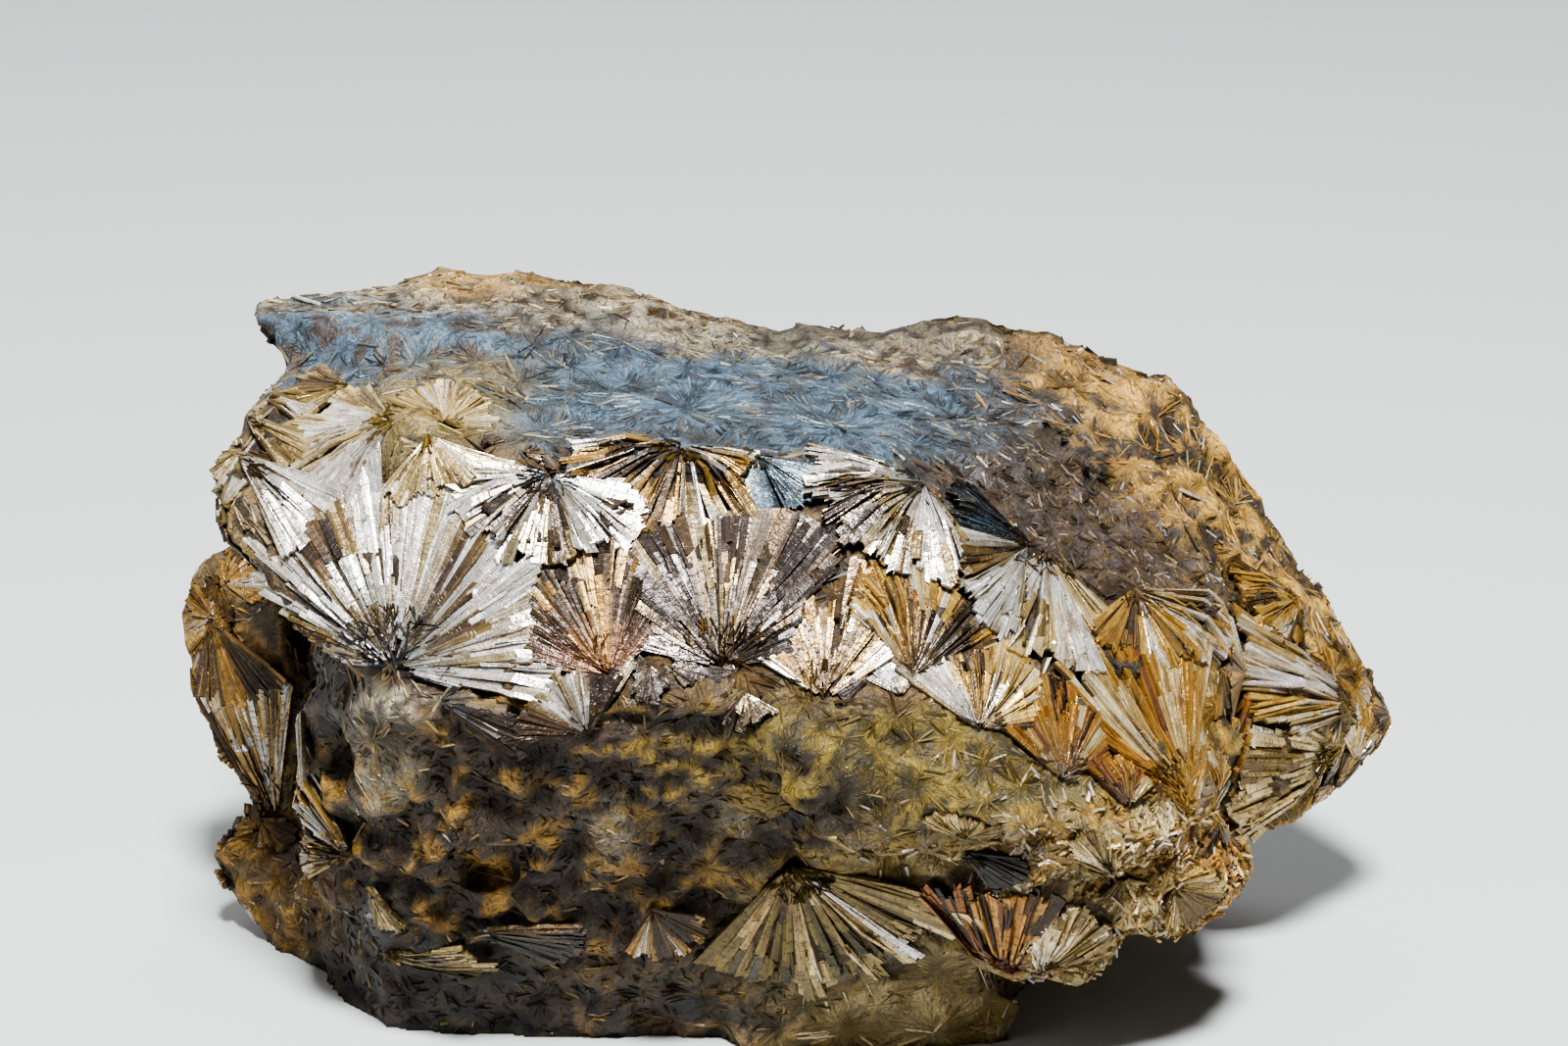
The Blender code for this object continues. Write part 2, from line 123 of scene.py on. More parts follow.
class Look(Enum):
    """A kind of crystal, as its colours from the darkest to the palest, with their shares."""

    # The silver look's LILAC and PEARL shares partly paint the silver reflection of its blades.
    SILVER = ((PLUM, 0.06), (BROWN, 0.13), (TAN, 0.21), (LILAC, 0.36), (PEARL, 0.24))
    BRONZE = ((UMBER, 0.12), (BROWN, 0.28), (HONEY, 0.26), (TAN, 0.20), (LILAC, 0.10), (PEARL, 0.04))
    PLUMMY = ((PLUM, 0.26), (BROWN, 0.24), (MAUVE, 0.20), (TAN, 0.18), (LILAC, 0.08), (PEARL, 0.04))
    GOLDEN = ((UMBER, 0.06), (BROWN, 0.16), (HONEY, 0.34), (GOLD, 0.12), (STRAW, 0.22), (PEARL, 0.10))
    ORANGE = ((UMBER, 0.06), (RUST, 0.14), (AMBER, 0.26), (HONEY, 0.28), (STRAW, 0.18), (CREAM, 0.08))
    CREAMY = ((BROWN, 0.08), (TAN, 0.20), (STRAW, 0.24), (CREAM, 0.30), (PEARL, 0.18))
    # The steely look's blues are partly the felt's own colour and partly painted reflection of a bluish
    # surround.
    STEELY = (
        (NIGHT, 0.04), (SLATE, 0.26), (STEEL, 0.42), (PALE_STEEL, 0.22), (STONE, 0.04), (CREAM, 0.02)
    )
    DARK = ((NIGHT, 0.50), (UMBER, 0.20), (SLATE, 0.10), (OLIVE, 0.14), (STRAW, 0.06))
    MOSSY = ((MOSS, 0.26), (OLIVE, 0.42), (TAN, 0.18), (STRAW, 0.12), (PEARL, 0.02))
    STRAWY = ((BROWN, 0.14), (OLIVE, 0.22), (TAN, 0.28), (STRAW, 0.26), (CREAM, 0.10))
    UMBRY = ((NIGHT, 0.24), (UMBER, 0.38), (BROWN, 0.24), (OLIVE, 0.10), (HONEY, 0.04))
    MAUVY = ((PLUM, 0.22), (UMBER, 0.18), (MAUVE, 0.32), (TAN, 0.20), (LILAC, 0.08))
    CRUSTY = ((BROWN, 0.10), (TAN, 0.32), (STONE, 0.26), (STRAW, 0.18), (CREAM, 0.14))

    def colours(self, shares: Array) -> Array:
        """Colours at places from 0, the darkest, to 1, the palest.

        Args:
            shares: Places in the look's range.

        Returns:
            One linear colour a row.
        """
        weights = np.array([weight for _, weight in self.value])
        centres = np.cumsum(weights) - weights / 2
        rows = np.array([colour for colour, _ in self.value])
        return np.stack([np.interp(shares, centres, rows[:, axis]) for axis in range(3)], axis=1)


# Shared helpers -------------------------------------------


def read(
    items: bpy.types.bpy_prop_collection, name: str, width: int = 1, kind: type = np.float32
) -> Array:
    """Reads one property of every item, as rows where it has more than one number."""
    values = np.empty(len(items) * width, kind)
    items.foreach_get(name, values)
    return values.reshape(-1, width) if width > 1 else values


def write(
    items: bpy.types.bpy_prop_collection, name: str, values: Array, kind: type = np.float32
) -> None:
    """Writes one property of every item."""
    items.foreach_set(name, values.astype(kind).ravel())


def add_map(mesh: Mesh, name: str, places: Array) -> None:
    """Gives a mesh a map, with one place for each face corner."""
    write(mesh.uv_layers.new(name=name).uv, "vector", places)


def add_colours(mesh: Mesh, name: str, colours: Array) -> None:
    """Gives each vertex a colour and a fourth value, as an attribute."""
    write(mesh.attributes.new(name, "FLOAT_COLOR", "POINT").data, "color", colours)


def units(rows: Array) -> Array:
    """The rows as unit directions."""
    return rows / np.linalg.norm(rows, axis=1, keepdims=True)


def noise_at(points: Array, size: float, shift: Triple = (0.0, 0.0, 0.0)) -> Array:
    """Smooth noise at each point, in patches of this size."""
    moved = Vector(shift)
    return np.array([noise.noise(Vector(point) / size + moved) for point in points])


def add_facing(name: str, data: bpy.types.ID, place: Vector, back: Vector) -> Object:
    """Puts a camera or a lamp in the scene, with its back to a direction."""
    obj = bpy.data.objects.new(name, data)
    bpy.context.scene.collection.objects.link(obj)
    obj.location = place
    obj.rotation_euler = (-back).to_track_quat("-Z", "Y").to_euler()
    return obj


# The display eye ------------------------------------------


@dataclass(frozen=True)
class DisplayEye:
    """Where a viewer stands to see the display side, and the plane that faces the viewer.

    Attributes:
        aim: The middle of what the viewer sees.
        tilt: How far the viewer looks down, in radians.
    """

    aim: Triple = (-0.01, -4.10, 48.6)
    tilt: float = math.radians(20.0)
    distance: float = 375.0
    lens: float = 90.0
    sensor: float = 36.0

    @property
    def back(self) -> Vector:
        """The direction from the aim to the eye."""
        return Vector((0.0, -math.cos(self.tilt), math.sin(self.tilt)))

    @property
    def up(self) -> Vector:
        """The plane's upward direction."""
        return Vector((0.0, math.sin(self.tilt), math.cos(self.tilt)))

    @property
    def place(self) -> Vector:
        """Where the eye is."""
        return Vector(self.aim) + self.back * self.distance

    def sees(self, place: Vector, normal: Vector, least: float = -0.05) -> bool:
        """Whether something here faces the eye, or hardly turns from it."""
        return normal.dot((self.place - place).normalized()) > least

    def ray(self, right: float, up: float) -> Vector:
        """The unit direction from the eye through a place on the plane."""
        return (Vector(self.aim) + Vector((right, 0, 0)) + self.up * up - self.place).normalized()

    def on_sheet(self, right: float, up: float, middle: Vector, normal: Vector) -> Vector:
        """Where the eye's ray through a place on its plane meets another plane."""
        ray = self.ray(right, up)
        return self.place + ray * ((middle - self.place).dot(normal) / ray.dot(normal))

    def on_plane(self, points: Array) -> Array:
        """Where points fall on the plane, as rows of (right, up)."""
        offset = points - np.array(self.place)
        depth = -(offset @ np.array(self.back))
        scale = self.distance / depth
        return np.stack([offset[:, 0] * scale, (offset @ np.array(self.up)) * scale], axis=1)

    def add_camera(self) -> Object:
        """Puts the scene's camera at the eye."""
        data = bpy.data.cameras.new("display_camera")
        data.lens = self.lens
        data.sensor_width = self.sensor
        camera = add_facing("display_camera", data, self.place * MM, self.back)
        bpy.context.scene.camera = camera
        return camera


EYE = DisplayEye()


# The ground: what grows on the lump, and where ------------


@dataclass(frozen=True)
class Habit:
    """How a fan's blades grow.

    Attributes:
        crest: Height of the blades' tops over the sheet.
        step: Spread of those heights from blade to blade.
        roll: Spread of their roll, in degrees.
        length: Usual length between breaks, in breadths.
        ragged: Share of the reach by which tips fall short.
        missing: Share of lengths that have broken away.
        slivers: Thin proud blades for each wide one.
        start: Most of the reach that stays bare at the focus.
        ridge: How far blades' edges lie under their crest, as a share of the thickness.
        overlap: Breadth of a blade for each breadth of its slot.
    """

    thick: float = 0.60
    crest: float = 0.10
    step: float = 0.022
    roll: float = 3.4
    length: float = 11.0
    ragged: float = 0.06
    missing: float = 0.02
    slivers: float = 0.4
    start: float = 0.14
    ridge: float = 0.025
    overlap: float = 1.4


@dataclass(frozen=True)
class Felt:
    """How short needles mat together round a focus.

    Attributes:
        crest: Height of the needles' tops over the sheet.
        length: Usual length of a needle, in breadths.
        layers: How many needles deep the mat is.
        stray: Spread of the needles from the rays of the fan, in degrees.
        pitch: Usual rise of a needle, in degrees.
        sizes: Shortest and longest needle, in usual lengths.
        breadths: Narrowest and broadest needle, in usual breadths.
    """

    thick: float = 0.12
    crest: float = 0.04
    step: float = 0.02
    length: float = 6.0
    layers: float = 0.8
    stray: float = 12.0
    pitch: float = 2.0
    sizes: Pair = (0.5, 1.5)
    breadths: Pair = (0.6, 1.4)


FLUSH = Habit()
PROUD = Habit(crest=0.16, step=0.05, roll=5.0, ragged=0.10, missing=0.03, slivers=1.0, ridge=0.05)
SMOOTH = Habit(0.5, 0.05, 0.010, 1.2, 30.0, 0.05, 0.0, 0.2, 0.12, 0.01, 2.0)
LOOSE = Habit(crest=0.04, step=0.04, roll=4.0, ragged=0.22, missing=0.04, slivers=0.6, ridge=0.04)
FELT = Felt()
MATTED = Felt(0.18, 0.06, 0.04, 3.6, 0.6, 18.0, 4.0)
TUFTED = Felt(0.26, 0.14, 0.08, 3.2, 1.1, 24.0, 16.0)
GAPS = Felt(0.22, 0.10, 0.05, 6.0, 1.2, 9.0, 3.0)
DUSTY = Felt(0.24, 0.22, 0.06, 6.0, 1.4, 24.0, 6.0)


@dataclass(frozen=True)
class Zone:
    """A patch of the lump, as an ellipse on the eye's plane.

    Attributes:
        right, up: Centre of the ellipse.
        width, height: Half of its length, and of its breadth.
        turn: Degrees that its length turns up from level.
        ground: Colours of the bare rock and of the patches on it.
        patch: Share of the patches, and their size.
        look: The crystals that grow there.
        reach: The least and most reach of its small fans.
        blade: Breadth of their blades.
        habit: How the blades grow.
        cover: Share of the rock that needles hide where no fan lies.
        lumps: Depth of the rock's relief.
    """

    right: float
    up: float
    width: float
    height: float
    turn: float
    ground: tuple[Colour, Colour]
    patch: Pair
    look: Look
    reach: Pair = (3.0, 5.0)
    blade: float = 0.40
    habit: Habit | Felt = FELT
    cover: float = 1.0
    lumps: float = 0.3


ZONES = (
    Zone(-28.0, 22.4, 27.0, 2.4, -1, (STONE, UMBER), (0.35, 2.2),
         Look.CRUSTY, (1.6, 3.0), 0.30, MATTED, 0.9, 0.7),
    Zone(-24.4, 23.7, 11.0, 1.0, 0, (AMBER, TAN), (0.4, 2.0),
         Look.ORANGE, (1.4, 2.4), 0.30, MATTED, 0.8, 0.6),
    Zone(7.5, 17.8, 15.0, 2.2, 0, (STONE, PLUM), (0.35, 2.0),
         Look.CRUSTY, (1.6, 3.2), 0.30, MATTED, 0.9, 0.7),
    Zone(-38.4, 17.2, 11.0, 3.8, 2, (STEEL, PLUM), (0.35, 2.4),
         Look.STEELY, (1.8, 3.4), 0.28, FELT, 0.8, 0.5),
    Zone(-4.0, 11.5, 30.0, 4.9, -2, (SLATE, STEEL), (0.5, 2.5),
         Look.STEELY, (3.0, 5.5), 0.26, FELT, 1.0, 0.3),
    Zone(-32.3, 12.0, 6.8, 3.8, 0, (OLIVE, TAN), (0.5, 2.0),
         Look.STRAWY, (2.6, 4.4), 0.28, FELT, 1.0, 0.3),
    Zone(29.0, 1.6, 14.0, 6.0, -38, (UMBER, PLUM), (0.4, 1.4),
         Look.MAUVY, (1.4, 2.8), 0.28, MATTED, 1.0, 1.2),
    Zone(36.5, 8.4, 15.0, 6.5, -42, (HONEY, UMBER), (0.30, 3.6),
         Look.GOLDEN, (3.0, 6.0), 0.34, FELT, 0.9, 1.3),
    Zone(51.2, -6.2, 10.5, 2.4, -58, (HONEY, UMBER), (0.4, 2.8),
         Look.GOLDEN, (2.0, 4.0), 0.32, FELT, 0.8, 1.0),
    Zone(30.0, 16.0, 8.0, 2.2, -22, (BROWN, AMBER), (0.4, 2.5),
         Look.BRONZE, (1.6, 3.0), 0.28, MATTED, 0.8, 0.7),
    Zone(-22.5, -31.5, 25.0, 11.0, -8, (UMBER, OCHRE), (0.32, 2.6),
         Look.UMBRY, (2.4, 5.0), 0.24, MATTED, 0.5, 2.2),
    Zone(-5.0, -26.0, 12.0, 5.0, -10, (UMBER, OLIVE), (0.45, 2.4),
         Look.UMBRY, (2.4, 4.6), 0.24, MATTED, 0.5, 2.0),
    Zone(14.5, -25.0, 14.5, 5.4, -14, (MOSS, OLIVE), (0.5, 2.0),
         Look.MOSSY, (2.2, 4.0), 0.26, FELT, 0.8, 0.6),
    Zone(-34.7, -44.7, 13.0, 5.0, -16, (NIGHT, UMBER), (0.4, 2.5),
         Look.DARK, (3.0, 6.0), 0.30, MATTED, 0.6, 1.0),
    Zone(-11.0, -45.5, 11.5, 4.4, 0, (BROWN, NIGHT), (0.5, 2.5),
         Look.UMBRY, (2.2, 4.4), 0.32, MATTED, 0.9, 0.7),
    Zone(-53.0, -15.6, 5.6, 13.5, 0, (BROWN, HONEY), (0.4, 3.0),
         Look.BRONZE, (4.0, 7.0), 0.5, LOOSE, 1.0, 0.4),
    Zone(-50.3, -36.6, 5.6, 7.5, 30, (BROWN, OCHRE), (0.5, 2.2),
         Look.STRAWY, (1.4, 2.4), 0.26, MATTED, 0.8, 1.2),
    Zone(-38.9, -17.0, 4.2, 2.6, -12, (STONE, PLUM), (0.5, 1.4),
         Look.CRUSTY, (1.4, 2.6), 0.28, FELT, 1.0, 0.8),
    # The recess between the left lobe and the main mass takes a near-black ground and dark needles as
    # painted shade.
    Zone(-45.5, -11.6, 5.6, 7.5, 30, (NIGHT, UMBER), (0.4, 2.5),
         Look.UMBRY, (2.4, 4.4), 0.34, MATTED, 0.6, 0.5),
    Zone(7.5, -41.5, 13.0, 8.0, 0, (TAN, OLIVE), (0.5, 4.0),
         Look.STRAWY, (4.0, 8.0), 0.34, FELT, 0.6, 0.3),
    Zone(30.0, -36.0, 13.0, 7.5, -16, (STRAW, HONEY), (0.5, 2.0),
         Look.CREAMY, (1.4, 3.0), 0.28, TUFTED, 0.9, 0.6),
    Zone(42.5, -34.0, 4.0, 4.6, 0, (AMBER, HONEY), (0.5, 1.4),
         Look.ORANGE, (0.9, 1.5), 0.30, TUFTED, 1.0, 0.5),
    Zone(-3.0, -4.8, 45.0, 10.6, -8, (BROWN, UMBER), (0.45, 2.4),
         Look.MAUVY, (2.6, 5.0), 0.42, LOOSE, 0.8, 0.3),
    Zone(-48.0, 3.0, 7.0, 9.5, 0, (UMBER, TAN), (0.5, 2.0),
         Look.CREAMY, (3.0, 5.0), 0.4, LOOSE, 1.0, 0.3),
    Zone(49.5, -19.5, 8.5, 9.5, 0, (HONEY, OLIVE), (0.5, 2.5),
         Look.GOLDEN, (3.5, 6.0), 0.45, LOOSE, 1.0, 0.4),
    Zone(-38.0, -25.0, 2.4, 2.6, 0, (STONE, TAN), (0.5, 1.5),
         Look.CRUSTY, (1.0, 1.8), 0.24, MATTED, 0.8, 0.4),
    Zone(-16.9, -30.6, 2.2, 2.2, 0, (STONE, TAN), (0.5, 1.5),
         Look.CRUSTY, (1.0, 1.8), 0.24, MATTED, 0.8, 0.4),
    Zone(-5.2, -28.7, 2.2, 2.2, 0, (STONE, OLIVE), (0.5, 1.5),
         Look.CRUSTY, (1.0, 1.8), 0.24, MATTED, 0.8, 0.4),
)


def side_zone(
    first: Colour, second: Colour, look: Look, reach: Pair, blade: float,
    habit: Habit | Felt, cover: float,
) -> Zone:
    """A zone of the sides that the eye doesn't see, which has no place on the eye's plane."""
    return Zone(0, 0, 1, 1, 0, (first, second), (0.45, 2.6), look, reach, blade, habit, cover, 0.5)


SIDE_ZONES = (
    side_zone(BROWN, HONEY, Look.GOLDEN, (5.0, 9.0), 0.6, LOOSE, 1.0),
    side_zone(UMBER, BROWN, Look.BRONZE, (4.5, 8.5), 0.6, LOOSE, 1.0),
    side_zone(UMBER, PLUM, Look.PLUMMY, (4.0, 7.5), 0.5, LOOSE, 1.0),
    side_zone(MOSS, OLIVE, Look.MOSSY, (4.0, 7.0), 0.5, LOOSE, 1.0),
    side_zone(TAN, UMBER, Look.CRUSTY, (2.0, 4.0), 0.44, MATTED, 0.8),
    side_zone(UMBER, OCHRE, Look.UMBRY, (2.4, 4.6), 0.46, MATTED, 0.7),
)
UNDERSIDE = side_zone(UMBER, NIGHT, Look.UMBRY, (2.4, 4.6), 0.50, MATTED, 0.6)


class Ground:
    """Tells which zone each point of the lump lies in.

    Attributes:
        wander: How far currents shift the edges of the zones.
        small_bonus: How much stronger a zone is than one of no matter what size, and how that falls
            with its size.
        falloff: How fast a zone weakens outside of its ellipse.
        past: How far a face may turn from the eye and still lie in a display zone.
        contrast: How clearly one side zone wins over the others.
        low: How far down a face looks where the underside's zone begins.
    """

    wander: float = 2.4
    current: float = 6.5
    edge: float = 0.55
    small_bonus: Pair = (1.6, 0.2)
    falloff: float = 2.2
    past: float = 0.22
    fade: float = 0.2
    patch: float = 17.0
    contrast: float = 9.0
    side_pull: float = 0.2
    low: float = 0.55
    low_fade: float = 0.3
    low_pull: float = 6.0

    def weights(self, points: Array, normals: Array) -> tuple[list[Zone], Array]:
        """How strongly each zone holds at each point.

        Args:
            points: Places in millimetres.
            normals: Outward directions there.

        Returns:
            The zones, and one row of shares a point, which sum to 1.
        """
        drift = np.array([noise.noise_vector(Vector(point) / self.current) for point in points])
        plane = EYE.on_plane(points + self.wander * drift)
        facing = np.einsum("ij,ij->i", units(np.array(EYE.place) - points), normals)
        seen = np.clip((facing + self.past) / self.fade, 0, 1)
        hidden = 1 - seen
        columns = [self._ellipse(zone, plane) * seen for zone in ZONES]
        for index in range(len(SIDE_ZONES)):
            level = noise_at(points, self.patch, (31.0 * index, 17.0 * index, -23.0 * index))
            columns.append(np.exp(level * self.contrast) * hidden * self.side_pull)
        low = np.clip((-normals[:, 2] - self.low) / self.low_fade, 0, 1)
        columns.append(low * hidden * self.low_pull)
        table = (np.stack(columns, axis=1) + 1e-7) ** (1 / self.edge)
        return [*ZONES, *SIDE_ZONES, UNDERSIDE], table / table.sum(1, keepdims=True)

    def _ellipse(self, zone: Zone, plane: Array) -> Array:
        """How strongly one display zone holds at places on the eye's plane."""
        turn = math.radians(zone.turn)
        right, up = plane[:, 0] - zone.right, plane[:, 1] - zone.up
        along = (right * math.cos(turn) + up * math.sin(turn)) / zone.width
        over = (up * math.cos(turn) - right * math.sin(turn)) / zone.height
        distance = along * along + over * over
        most, fall = self.small_bonus
        return (most - fall * math.log(zone.width * zone.height)) / (1 + distance**self.falloff)


# Surface and sheets ---------------------------------------


class Surface:
    """A mesh of the lump, for finding where fans and needles lie on it, in millimetres."""

    probes: int = 8
    probe_from: float = 6.0
    probe_depth: float = 14.0

    def __init__(self, solid: Object) -> None:
        """Reads the mesh, and each triangle's area and outward direction."""
        mesh = solid.data
        mesh.calc_loop_triangles()
        self.corners = read(mesh.vertices, "co", 3).astype(float) / MM
        self.faces = read(mesh.loop_triangles, "vertices", 3, np.int32)
        self.tree = BVHTree.FromPolygons(self.corners.tolist(), self.faces.tolist())
        self.low, self.high = self.corners.min(0), self.corners.max(0)
        a, b, c = self._triangles()
        self.outward = np.cross(b - a, c - a)
        self.areas = np.linalg.norm(self.outward, axis=1)
        self.outward /= self.areas[:, None]

    def _triangles(self) -> tuple[Array, ...]:
        """The first, second and third corners of all the triangles."""
        return tuple(self.corners[self.faces[:, corner]] for corner in range(3))

    def below(
        self, point: Vector, normal: Vector, above: float, depth: float
    ) -> tuple[Vector | None, Vector | None]:
        """Where the surface lies below a start over the point, and its outward direction there."""
        hit, outward, _, _ = self.tree.ray_cast(point + normal * above, -normal, depth)
        return hit, outward

    def mean_normal(self, point: Vector, normal: Vector, radius: float) -> Vector:
        """The outward direction averaged over a disc round the point."""
        side = normal.orthogonal().normalized()
        across = normal.cross(side)
        total = normal.copy()
        for step in range(self.probes):
            angle = step * math.tau / self.probes
            start = point + (side * math.cos(angle) + across * math.sin(angle)) * radius
            hit, outward = self.below(start, normal, self.probe_from, self.probe_depth)
            if hit:
                total += outward
        return total.normalized()

    def scatter(self, count: int, rng: np.random.Generator) -> tuple[Array, Array, Array]:
        """Evenly spread random points of the surface, their outward directions and their triangles."""
        a, b, c = self._triangles()
        picks = rng.choice(len(a), count, p=self.areas / self.areas.sum())
        u, v = rng.random(count), rng.random(count)
        folded = u + v > 1
        u[folded], v[folded] = 1 - u[folded], 1 - v[folded]
        points = a[picks] + (b - a)[picks] * u[:, None] + (c - a)[picks] * v[:, None]
        return points, self.outward[picks], picks

    def settle(self, points: Array, normals: Array, most: float = 1.5) -> tuple[Array, Array]:
        """Moves points along their normals onto the surface.

        Args:
            points: Places near the surface, one a row.
            normals: Outward directions there.
            most: How far a point may move.

        Returns:
            The moved points, and whether each one found the surface.
        """
        settled, found = points.copy(), np.zeros(len(points), bool)
        for index, (point, normal) in enumerate(zip(points, normals)):
            hit, _ = self.below(Vector(point), Vector(normal), most, 2 * most)
            if hit:
                settled[index], found[index] = hit, True
        return settled, found


class Slices:
    """Points sorted along X, so that those near a place are found fast."""

    def __init__(self, points: Array) -> None:
        """Sorts the points along X."""
        self.points = points
        self.order = np.argsort(points[:, 0], kind="stable")
        self.along = points[self.order, 0]

    def near(self, place: Vector, radius: float) -> Array:
        """Indices of the points within a radius of a place."""
        first, last = np.searchsorted(self.along, (place.x - radius, place.x + radius))
        picks = self.order[first:last]
        return picks[np.linalg.norm(self.points[picks] - np.array(place), axis=1) < radius]


@dataclass
class Sheet:
    """The gently curved surface that one fan's blades lie on.

    Attributes:
        spread: The fan's angle, in radians.
        lift: How far the tips stand off the lump.
        rank: A fan ends where another of its rank begins, and runs on under one of a higher rank.
        steepest: Most that the sheet rises or falls for each length along it.
        float_most: Most that it floats over the lump before the fan ends.
        bulge: Spread of the bundles' reach, as a share of it.
        settled: Share of the lump's height at the focus that the sheet takes.
        look_from: Height from which the samples look down on the lump.
        limits: How far blades run at each ray.
    """

    surface: Surface
    focus: Vector
    normal: Vector
    forward: Vector
    spread: float
    reach: float
    lift: float = 0.0
    rank: int = 1
    rings: int = 9
    rays: int = 17
    steepest: float = 0.7
    float_most: float = 1.8
    bulge: float = 0.16
    settled: float = 0.8
    look_from: float = 7.0
    heights: Array = field(init=False)
    limits: Array = field(init=False)
    bulges: Array = field(init=False)

    def __post_init__(self) -> None:
        """Samples the lump under the fan and finds how far its blades run."""
        side = self.normal.cross(self.forward)
        heights = np.zeros((self.rings, self.rays))
        gaps = np.zeros((self.rings + 1, self.rays))
        step = self.reach / (self.rings - 1)
        slack = self.steepest * step
        heights[0] = self._ground_height()
        for ray in range(self.rays):
            angle = self.spread * (ray / (self.rays - 1) - 0.5)
            along = self.forward * math.cos(angle) + side * math.sin(angle)
            height = heights[0, ray]
            for ring in range(1, self.rings):
                spot = self.focus + along * step * ring
                hit, _ = self.surface.below(spot, self.normal, self.look_from, 2 * self.look_from)
                fresh = (hit - self.focus).dot(self.normal) if hit else -FAR
                heights[ring, ray] = height = min(max(fresh, height - slack), height + slack)
                gaps[ring:, ray] = height - fresh
        for _ in range(2):
            padded = np.pad(heights, ((0, 0), (1, 1)), mode="edge")
            heights = (padded[:, :-2] + 2 * padded[:, 1:-1] + padded[:, 2:]) / 4
        self.heights = heights
        rng = np.random.default_rng([int(abs(value) * 1000) for value in self.focus])
        self.bulges = 1 + self.bulge * rng.uniform(-1, 1, max(3, int(self.spread * 5)))
        off = (gaps[:-1] > self.float_most) & (gaps[1:] > self.float_most)
        first = np.where(off.any(0), off.argmax(0) - 0.6, self.rings - 1)
        self.limits = np.maximum(first, 0.5) * step

    def _ground_height(self) -> float:
        """Height of the lump at the focus, kept within reason."""
        hit, _ = self.surface.below(self.focus, self.normal, 4.0, 8.0)
        return (hit - self.focus).dot(self.normal) * self.settled if hit else 0.0

    def limit(self, angle: Array) -> Array:
        """How far blades at these angles run before the fan ends."""
        return np.interp(angle, np.linspace(-0.5, 0.5, len(self.limits)) * self.spread, self.limits)

    def claim(self, radius: Array, angle: Array) -> Array:
        """How far out in the fan these places are, as bundles of uneven length have it."""
        count = len(self.bulges)
        bundle = ((angle / self.spread + 0.5) * count).astype(int).clip(0, count - 1)
        return radius / (self.reach * self.bulges[bundle])

    def place(self, radius: Array, angle: Array) -> Array:
        """Points of the sheet at these radii and angles, one a row."""
        ring = np.clip(radius / self.reach * (self.rings - 1), 0, self.rings - 1.001)
        ray = np.clip((angle / self.spread + 0.5) * (self.rays - 1), 0, self.rays - 1.001)
        near, left = ring.astype(int), ray.astype(int)
        t, s = ring - near, ray - left
        low = self.heights[near, left] * (1 - s) + self.heights[near, left + 1] * s
        high = self.heights[near + 1, left] * (1 - s) + self.heights[near + 1, left + 1] * s
        height = low * (1 - t) + high * t
        height += self.lift * (radius / self.reach) ** 2
        side = np.array(self.normal.cross(self.forward))
        along = np.outer(np.cos(angle), np.array(self.forward)) + np.outer(np.sin(angle), side)
        return np.array(self.focus) + along * radius[:, None] + np.outer(height, np.array(self.normal))

    def polar(self, points: Array) -> tuple[Array, Array, Array]:
        """Radius, angle and height of points, as this fan sees them."""
        offset = points - np.array(self.focus)
        x = offset @ np.array(self.forward)
        y = offset @ np.array(self.normal.cross(self.forward))
        return np.hypot(x, y), np.arctan2(y, x), offset @ np.array(self.normal)

    def share(self, points: Array) -> Array:
        """How far out in this fan points lie, from 0 to 1, or far out where they aren't in it."""
        radius, angle, height = self.polar(points)
        inside = (np.abs(angle) <= self.spread / 2) & (radius <= self.limit(angle))
        inside &= np.abs(height) < 1.5 + 0.4 * self.reach
        return np.where(inside, self.claim(radius, angle), FAR)


